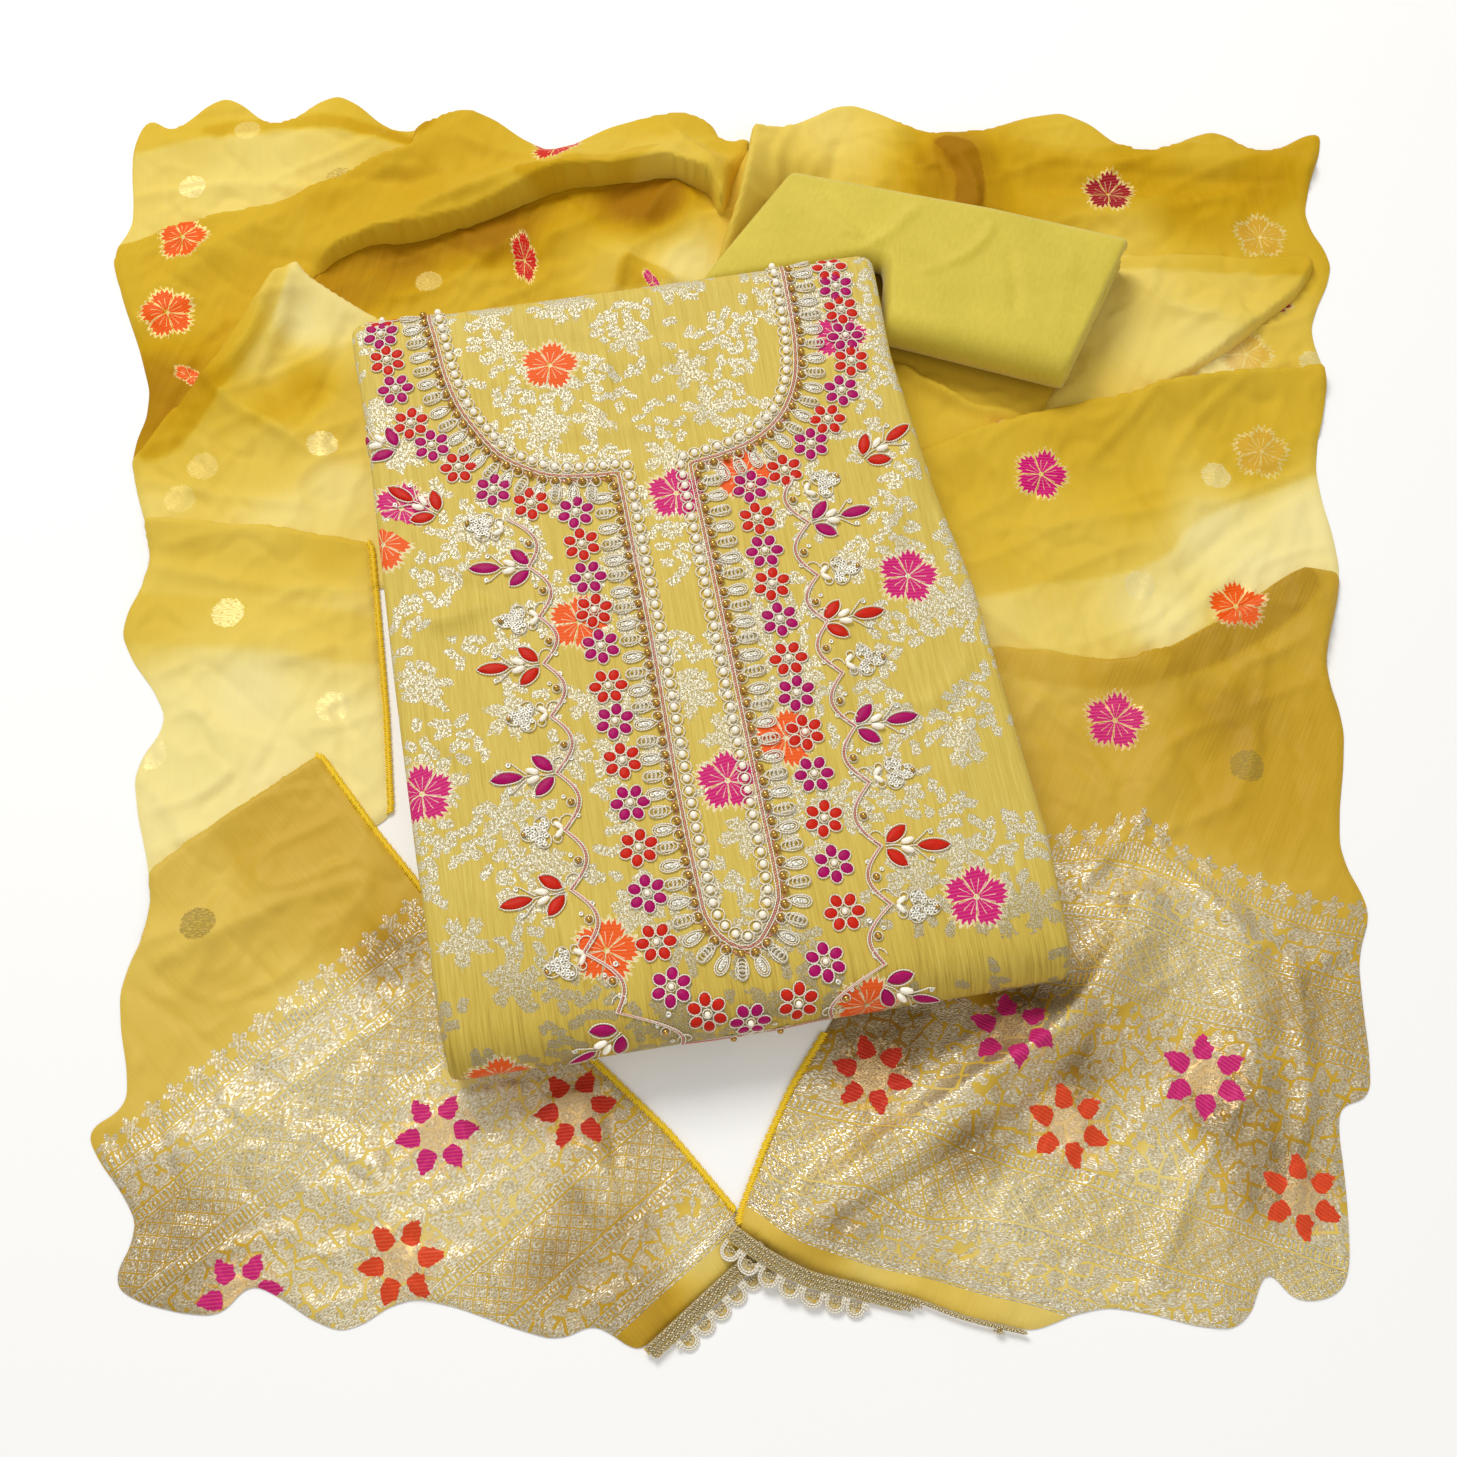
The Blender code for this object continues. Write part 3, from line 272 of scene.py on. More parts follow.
def edgeDistance(points, run, closed=True):
    nearest = np.full(len(points), np.inf)
    for start, end in zip(run, np.roll(run, -1, axis=0) if closed else run[1:]):
        away = fromLine(points, start, end)[1]
        nearest = np.minimum(nearest, np.einsum("ij,ij->i", away, away))
    return np.sqrt(nearest)


def foldHeight(points, folds):  # each fold's rows: x, y, height, reach left, reach right
    total = np.zeros(len(points))
    for rows in folds:
        run = smoothRun(rows)
        height = np.zeros(len(points))
        for start, end in zip(run[:-1], run[1:]):
            t, away = fromLine(points, start[:2], end[:2])
            along = end[:2] - start[:2]
            left = along[0] * away[:, 1] - along[1] * away[:, 0] > 0
            station = start + t[:, None] * (end - start)
            reach = np.where(left, station[:, 3], station[:, 4])
            across = np.minimum(np.hypot(away[:, 0], away[:, 1]) / reach, 1)
            bell = np.abs(station[:, 2]) * (1 - across) ** 2 * (1 + 0.6 * across)
            height = np.maximum(height, bell)
        total += np.sign(rows[len(rows) // 2][2]) * height
    return total


def planMesh(loop, spacing):
    loop = evenly(loop, spacing, True)
    low, high = loop.min(axis=0), loop.max(axis=0)
    step = spacing * math.sqrt(3) / 2
    j, i = np.meshgrid(np.arange(int((high[1] - low[1]) / step) + 2),
                       np.arange(int((high[0] - low[0]) / spacing) + 2), indexing="ij")
    lattice = np.column_stack([(low[0] + spacing * (i + 0.5 * (j % 2))).ravel(),
                               (low[1] + step * j).ravel()])
    lattice = lattice[inside(lattice, loop)]
    lattice = lattice[edgeDistance(lattice, loop) > 0.55 * spacing]
    edges = [(k, (k + 1) % len(loop)) for k in range(len(loop))]
    flat, _, faces, *_ = delaunay_2d_cdt([Vector(p) for p in np.vstack([loop, lattice])],
                                         edges, [], 1, 1e-4)
    flat, faces = np.array([tuple(p) for p in flat]), np.array(faces)
    one, two = flat[faces[:, 1]] - flat[faces[:, 0]], flat[faces[:, 2]] - flat[faces[:, 0]]
    under = one[:, 0] * two[:, 1] - one[:, 1] * two[:, 0] < 0
    faces[under] = faces[under][:, ::-1]
    return flat, faces, loop


# Height maps over the plan.
grid = {"low": np.array([-396.0, -344.0]), "cell": 1.5, "shape": (528, 532)}


def gridSpots():
    return grid["low"] + grid["cell"] * (np.stack(np.indices(grid["shape"]), axis=-1) + 0.5)


def between(field, i, j, k, m, s, t):  # straight-line reading between four cells
    return ((field[i, j] * (1 - s) + field[k, j] * s) * (1 - t)
            + (field[i, m] * (1 - s) + field[k, m] * s) * t)


def sample(field, points):  # reading of a map at plan points
    spot = (points[:, :2] - grid["low"]) / grid["cell"] - 0.5
    spot = np.clip(spot, 0, np.array(grid["shape"]) - 1.001)
    (i, j), (s, t) = spot.astype(int).T, (spot - spot.astype(int)).T
    return between(field, i, j, i + 1, j + 1, s, t)


def blurred(field, mask, width):  # soft average over the cells that the mask holds
    reach = int(3 * width)
    weights = np.exp(-0.5 * (np.arange(-reach, reach + 1) / width) ** 2)
    value, share = field * mask, mask.astype(float)
    for axis in (0, 1):
        value, share = (sum(w * np.roll(part, k - reach, axis=axis)
                            for k, w in enumerate(weights)) for part in (value, share))
    return value / np.maximum(share, 1e-9)


def widened(field, cells):
    for _ in range(cells):
        for axis in (0, 1):
            field = np.maximum(field, np.maximum(np.roll(field, 1, axis=axis),
                                                 np.roll(field, -1, axis=axis)))
    return field


def layTriangle(top, corners):
    flat = corners[:, :2]
    low = np.floor((flat.min(axis=0) - grid["low"]) / grid["cell"]).astype(int) - 1
    high = np.floor((flat.max(axis=0) - grid["low"]) / grid["cell"]).astype(int) + 2
    i, j = (part.ravel() for part in np.meshgrid(
        np.arange(low[0], high[0]), np.arange(low[1], high[1]), indexing="ij"))
    x, y = (grid["low"] + grid["cell"] * (np.column_stack([i, j]) + 0.5) - flat[0]).T
    (bx, by), (cx, cy) = flat[1:] - flat[0]
    area = bx * cy - by * cx
    if abs(area) < 1e-6:
        return
    wb, wc = (x * cy - y * cx) / area, (bx * y - by * x) / area
    near = (wb > -0.03) & (wc > -0.03) & (wb + wc < 1.03)
    height = corners[0, 2] * (1 - wb - wc) + corners[1, 2] * wb + corners[2, 2] * wc
    np.maximum.at(top, (i[near], j[near]), height[near])


def solidTop(name):  # the upper side of a CAD node: its height map, mask and outline
    mesh = bmesh.new()
    mesh.from_mesh(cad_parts[name].data)
    bmesh.ops.remove_doubles(mesh, verts=mesh.verts, dist=1e-5)
    mesh.normal_update()
    upper = {face.index for face in mesh.faces if face.normal.z > 0.12}
    top = np.full(grid["shape"], -1.0)
    for face in mesh.faces:
        if face.index in upper:
            layTriangle(top, toLayout([v.co for v in face.verts]))
    links = {}
    for edge in mesh.edges:
        sides = [face for face in edge.link_faces if face.index in upper]
        if len(sides) == 1:
            for loop in sides[0].loops:
                if loop.edge == edge:
                    links[loop.vert.index] = loop.link_loop_next.vert.index
    mesh.verts.ensure_lookup_table()
    loops = []
    while links:
        chain = [next(iter(links))]
        at = links.pop(chain[0])
        while at in links:
            chain.append(at)
            at = links.pop(at)
        loops.append(toLayout([mesh.verts[k].co for k in chain])[:, :2])
    mesh.free()
    return np.where(top > -0.5, top, 0), top > -0.5, max(loops, key=len)


def gridNoise(span, seed, stretch=(1.0, 1.0), turn=0.0):  # soft noise, about -1 to 1
    spots = gridSpots().reshape(-1, 2)
    spots = np.column_stack(turned(*spots.T, math.radians(turn))) / span / stretch + 400
    lattice = np.random.default_rng(seed).uniform(-1, 1, (256, 256))
    cell = np.floor(spots).astype(int)
    f = spots - cell
    f = f * f * (3 - 2 * f)
    i, j = cell.T % 256
    value = between(lattice, i, j, (i + 1) % 256, (j + 1) % 256, *f.T)
    return value.reshape(grid["shape"])


# Finished pieces.
def makePiece(name, points, faces, finish, cloth=None, layers=None, edges=()):
    mesh = bpy.data.meshes.new(name)
    mesh.from_pydata(np.asarray(points, float).tolist(), list(edges),
                     [[int(k) for k in face] for face in faces])
    if len(faces):
        mesh.validate()
        mesh.shade_smooth()
    if cloth is not None:  # the weave's own map
        corner = np.zeros(len(mesh.loops), np.int32)
        mesh.loops.foreach_get("vertex_index", corner)
        mesh.uv_layers.new(name="cloth").data.foreach_set(
            "uv", np.asarray(cloth, np.float32)[corner].ravel())
    for label, values in (layers or {}).items():
        values = np.asarray(values, np.float32)
        kind, field = ("FLOAT_VECTOR", "vector") if values.ndim > 1 else ("FLOAT", "value")
        layer = mesh.attributes.new(label, kind, "POINT")
        layer.data.foreach_set(field, values.ravel())
    mesh.materials.append(finish)
    return inScene(name, mesh)


def dress(piece, node=None):  # every piece rides on the one body
    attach(piece, "root")
    if node:
        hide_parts(node)
    return piece


def surfaceArea(points, faces):
    corners = points[np.asarray(faces)]
    spans = corners[:, 1:] - corners[:, :1]
    cross = np.cross(spans[:, :-1], spans[:, 1:]).sum(axis=1)
    return float(np.linalg.norm(cross, axis=1).sum() / 2)


makeStudio()
print("camera and lights stand")


# Woven motifs: each kind and its colour, in the order of their numbers on the cloth.
weaves = {"none": (0, 0, 0), "magenta": (206, 0, 114), "orange": (238, 88, 0),
          "red": (206, 26, 22), "wine": (156, 16, 36), "zariDot": (240, 226, 160),
          "shadedDot": (156, 130, 46), "magentaLotus": (206, 0, 116),
          "redLotus": (206, 36, 12), "orangeLotus": (224, 62, 8),
          "faintFlower": (216, 162, 60), "faintDot": (232, 212, 130)}
fullTurn = 6.2832


def motifMaps(points, motifs):  # each point's place within its nearest motif
    local = np.tile([9.0, 9.0, 0.0], (len(points), 1))
    near, second = np.full(len(points), 9.0), np.full(len(points), 9.0)
    for kind, (x, y, radius, turn, narrow) in (
            (kind, spot) for kind, spots in motifs.items() for spot in spots):
        across, along = turned(points[:, 0] - x, points[:, 1] - y, math.radians(turn))
        across, along = across / radius / narrow, along / radius
        away = np.hypot(across, along)
        mine = away < near
        second = np.where(mine, near, np.minimum(second, away))
        near[mine] = away[mine]
        local[mine, 0], local[mine, 1] = across[mine], along[mine]
        local[mine, 2] = list(weaves).index(kind)
    return {"motifNear": ((near < 1.35) & (second - near > 0.3)).astype(float),
            "motif": local}


def motifShapes(g):
    x, y, hue = g.split(g.attribute("motif", "Vector"))
    near = g.attribute("motifNear") > 0.995
    grain = g.noise(g.join(x, y, hue), 6.0, 2.0)
    ragged = g.noise(g.join(x, y, hue), 21.0, 2.0)
    radius, angle = g.polar(x, y)
    dot = (hue > 4.5) * (hue < 6.5) + (hue > 10.5)
    lotus = (hue > 6.5) * (hue < 9.5)
    flower = near * (1 - dot) * (1 - lotus)

    share = g.math("FRACT", angle * (5 / fullTurn) + 0.5 + grain * 0.06) - 0.5
    fringe = g.wave(angle * (30 / fullTurn) + grain * 0.8)
    edge = 1.04 - 0.9 * share * share - 0.36 * fringe - 0.14 * grain
    petal = flower * (radius < edge) * (radius > 0.09) \
        * (g.math("ABSOLUTE", share) < 0.492 - 0.014 / (radius + 0.03))
    vein = petal * (g.wave(share * 3.0 + 0.25) < 0.035 + 0.03 * grain) * (radius > 0.14) \
        * (radius < 0.56)
    halo = flower * (radius < edge + 0.3 * ragged - 0.02) * (1 - petal) \
        * (ragged + grain > 0.94)

    lotusShare = g.math("FRACT", angle * (6 / fullTurn) + (grain - 0.5) * 0.34) - 0.5
    along = g.least(g.most((radius - 0.42) / 0.68, 0.0), 1.0)
    width = g.math("POWER", along, 0.6) * (1 - along) * 0.68
    leaf = near * lotus * (g.math("ABSOLUTE", lotusShare) * radius < width) * (along > 0.02)
    core = near * lotus * (radius < 0.60 - 0.12 * g.math("COSINE", angle * 6)) \
        * (1 - leaf) * (ragged > 0.42)
    rim = near * lotus * (radius < 1.02) * (1 - leaf) * (ragged + grain > 1.06)

    dash = g.noise(g.join(x * 4, y * 13, hue), 1.0, 2.0)
    round = near * dot * (radius < 0.8 + 0.4 * grain) \
        * (0.35 + 0.65 * g.smooth(dash, 0.4, 0.52))
    floats = g.smooth(g.wave((x * (0.1 + 0.6 * lotus) + y) * 9.0), 0.02, 0.22)
    colour = g.ramp((hue + 0.5) / 12, *((k / 12, *c) for k, c in enumerate(weaves.values())),
                    blending="CONSTANT")
    faint = (hue > 9.5)
    thread = g.least(halo + core + rim + vein + round * (1 - 0.3 * faint), 1.0)
    return {"silk": (petal + leaf) * (1 - 0.55 * faint), "thread": thread, "round": round,
            "colour": colour, "floats": floats, "grain": grain}


def weave(g, across, along):  # slubby strands along the map's V
    where = g.make("ShaderNodeUVMap", {"uv_map": "cloth"})
    strands = g.grain((across, along, 1), 3.0, 0.6, where)
    return where, strands, g.grain((across * 0.3, along * 0.35, 1), 2.0, 0.5, where)


def sheerFinish(g):
    where, strands, slubs = weave(g, 1100.0, 26.0)
    across = g.grain((30, 1300, 1), 1.0, 0.5, where)
    cloud = g.grain(9, 2.0)
    # the tone map holds the layers beneath and painted fold shade and highlight; it sets the
    # ground colour
    level = g.attribute("layering") + (cloud - 0.5) * 0.16 + (strands - 0.5) * 0.04 \
        + (slubs - 0.5) * 0.05
    ground = g.ramp(level, (0.0, 248, 236, 178), (0.22, 241, 224, 146), (0.45, 229, 201, 92),
                    (0.68, 216, 180, 50), (0.86, 200, 156, 10), (1.0, 162, 112, 0))
    shapes = motifShapes(g)
    silk = g.mix((1 - shapes["floats"]) * 0.14, shapes["colour"], rgb(255, 186, 130))
    zari = g.mix(shapes["round"], rgb(236, 218, 150), shapes["colour"])
    cloth = g.mix(shapes["silk"], ground, silk)
    cloth = g.mix(shapes["thread"] * (0.55 + 0.4 * shapes["grain"]), cloth, zari)
    shown = g.most(shapes["silk"], shapes["thread"])
    relief = strands * 0.5 + across * 0.3 + slubs * 0.6
    return {"Base Color": cloth, "Roughness": 0.72 - 0.2 * shown + (slubs - 0.5) * 0.1,
            "Metallic": shapes["thread"] * 0.25, "Normal": g.bump(relief, 0.4, 0.0004)}


# The woven end piece in bands along V, in millimetres from its row of leaf buds.
palluBands = {"budRow": (-9, 8), "lattices": [(46, 69), (168, 193)],
              "ladders": [(8.5, 15), (38.5, 44), (70.5, 77.5), (160.5, 166), (195, 200),
                          (222, 226)],
              "vines": [(18, 37.5), (201, 221)], "garden": (79, 159.5),
              "stems": [(28, 38, 5.5), (211, 30, 5.0), (119, 84, 22)],
              "lines": (16.0, 17.6, 44.8, 69.6, 78.2, 160.0, 167.0, 194.0, 200.4, 221.6,
                        232.2), "lineWidth": 0.9, "bright": (226.5, 231.5), "end": 233}


def palluFinish(g):
    bands = palluBands
    where = g.make("ShaderNodeUVMap", {"uv_map": "cloth"})
    u, v, _ = g.split(where)
    wobble = g.grain((40, 40, 1), 2.0, 0.5, where)
    fine = g.grain((1500, 650, 1), 2.0, 0.7, where)
    along = u * 1000 + (wobble - 0.5) * 1.6
    down = v * 1000 + (wobble - 0.5) * 1.2

    bars = g.wave(along / 2.3) > 0.2
    ladder = sum((g.band(down, a, b) * g.most(bars, (down > b - 0.9) + (down < a + 0.9))
                  for a, b in bands["ladders"][1:]), g.band(down, *bands["ladders"][0]) * bars)
    slant, backslant = g.wave((along + down) / 8.4), g.wave((along - down) / 8.4)
    cross = g.least(slant, backslant)
    knot = g.most(0.5 - slant, 0.5 - backslant)
    diamond = (cross > 0.055) * (1 - (cross > 0.17) * (cross < 0.21))
    lattice = sum(g.band(down, a, b) for a, b in bands["lattices"]) * diamond \
        * (1 - (knot < 0.06))
    scroll = g.cells(g.place((1, 1, 1), where), 118.0, 0.8, voronoi_dimensions="2D",
                     feature="DISTANCE_TO_EDGE")
    leafy = g.cells(g.place((1, 0.8, 1), where), 190.0, voronoi_dimensions="2D")
    foliage = g.most((scroll > 0.09) * (wobble > 0.36),
                     (leafy < 0.33 + 0.2 * (wobble - 0.5)))
    stem = sum(g.math("ABSOLUTE", down - middle
                      - g.math("SINE", along * (fullTurn / pitch)) * swing) < 0.9
               for middle, pitch, swing in bands["stems"])
    vines = sum(g.band(down, a, b) for a, b in bands["vines"])
    aside, above = g.wave(along / 13.2) * 13.2, 3.4 - down
    reach, angle = g.polar(above, aside)
    lobes = g.math("ABSOLUTE", g.math("COSINE", angle * 2.5))
    buds = g.band(down, *bands["budRow"]) * (reach < 2.3 + 3.8 * lobes) \
        * (g.wave((along + down * 0.8) / 2.6) > 0.08)
    lines = sum(g.band(down, place, place + bands["lineWidth"]) for place in bands["lines"])
    woven = g.most(foliage, stem) * g.least(g.band(down, *bands["garden"]) + vines, 1.0)
    zari = g.least(lattice + ladder + woven * 0.85 + buds * 0.8 + lines
                   + g.band(down, *bands["bright"]) * 0.95, 1.0) * (down < bands["end"])
    glint = g.smooth(g.grain((560, 2000, 1), 1.0, 0.5, where) + (fine - 0.5) * 0.4, 0.34,
                     0.62)
    cover = zari * g.smooth(fine, 0.22, 0.4)
    shapes = motifShapes(g)
    strands = g.grain((1200, 30, 1), 3.0, 0.5, where)
    # the tone map holds painted fold shade and highlight as well as the layers beneath
    level = g.attribute("layering") + (strands - 0.5) * 0.18
    plain = g.ramp(level, (0.0, 240, 224, 150), (0.4, 222, 190, 78), (0.75, 200, 158, 26),
                   (1.0, 140, 98, 0))
    thread = g.mix(glint, rgb(204, 176, 112), rgb(255, 254, 242))
    # painted shade: the metal thread darkens where the tone map is deep, in fold valleys
    thread = g.mix(g.smooth(level, 0.5, 1.1) * 0.66, thread, rgb(132, 104, 34))
    cloth = g.mix(cover * 0.92, plain, thread)
    silk = g.mix((1 - shapes["floats"]) * 0.2, shapes["colour"], rgb(255, 160, 110))
    cloth = g.mix(shapes["silk"], cloth, silk)
    dotted = shapes["round"] > 0
    cloth = g.mix(shapes["thread"] * 0.85, cloth,
                  g.mix(dotted, rgb(240, 206, 150), shapes["colour"]))
    metal = g.most(cover * (1 - shapes["silk"]), shapes["thread"] * 0.5 * (1 - dotted))
    relief = zari * 0.6 + (fine * 0.6 + glint) * zari + strands * 0.4 + shapes["silk"] * 0.8
    return {"Base Color": cloth, "Metallic": metal * 0.95,
            "Roughness": 0.6 - metal * 0.27 + (fine - 0.5) * 0.2 * metal,
            "Normal": g.bump(relief, 0.6, 0.0006)}


sheerCloth = material("sheerTissueSilk", sheerFinish, {"Specular IOR Level": 0.12})
palluCloth = material("palluBrocade", palluFinish, {"Specular IOR Level": 0.35})
print("dupatta cloths are mixed")

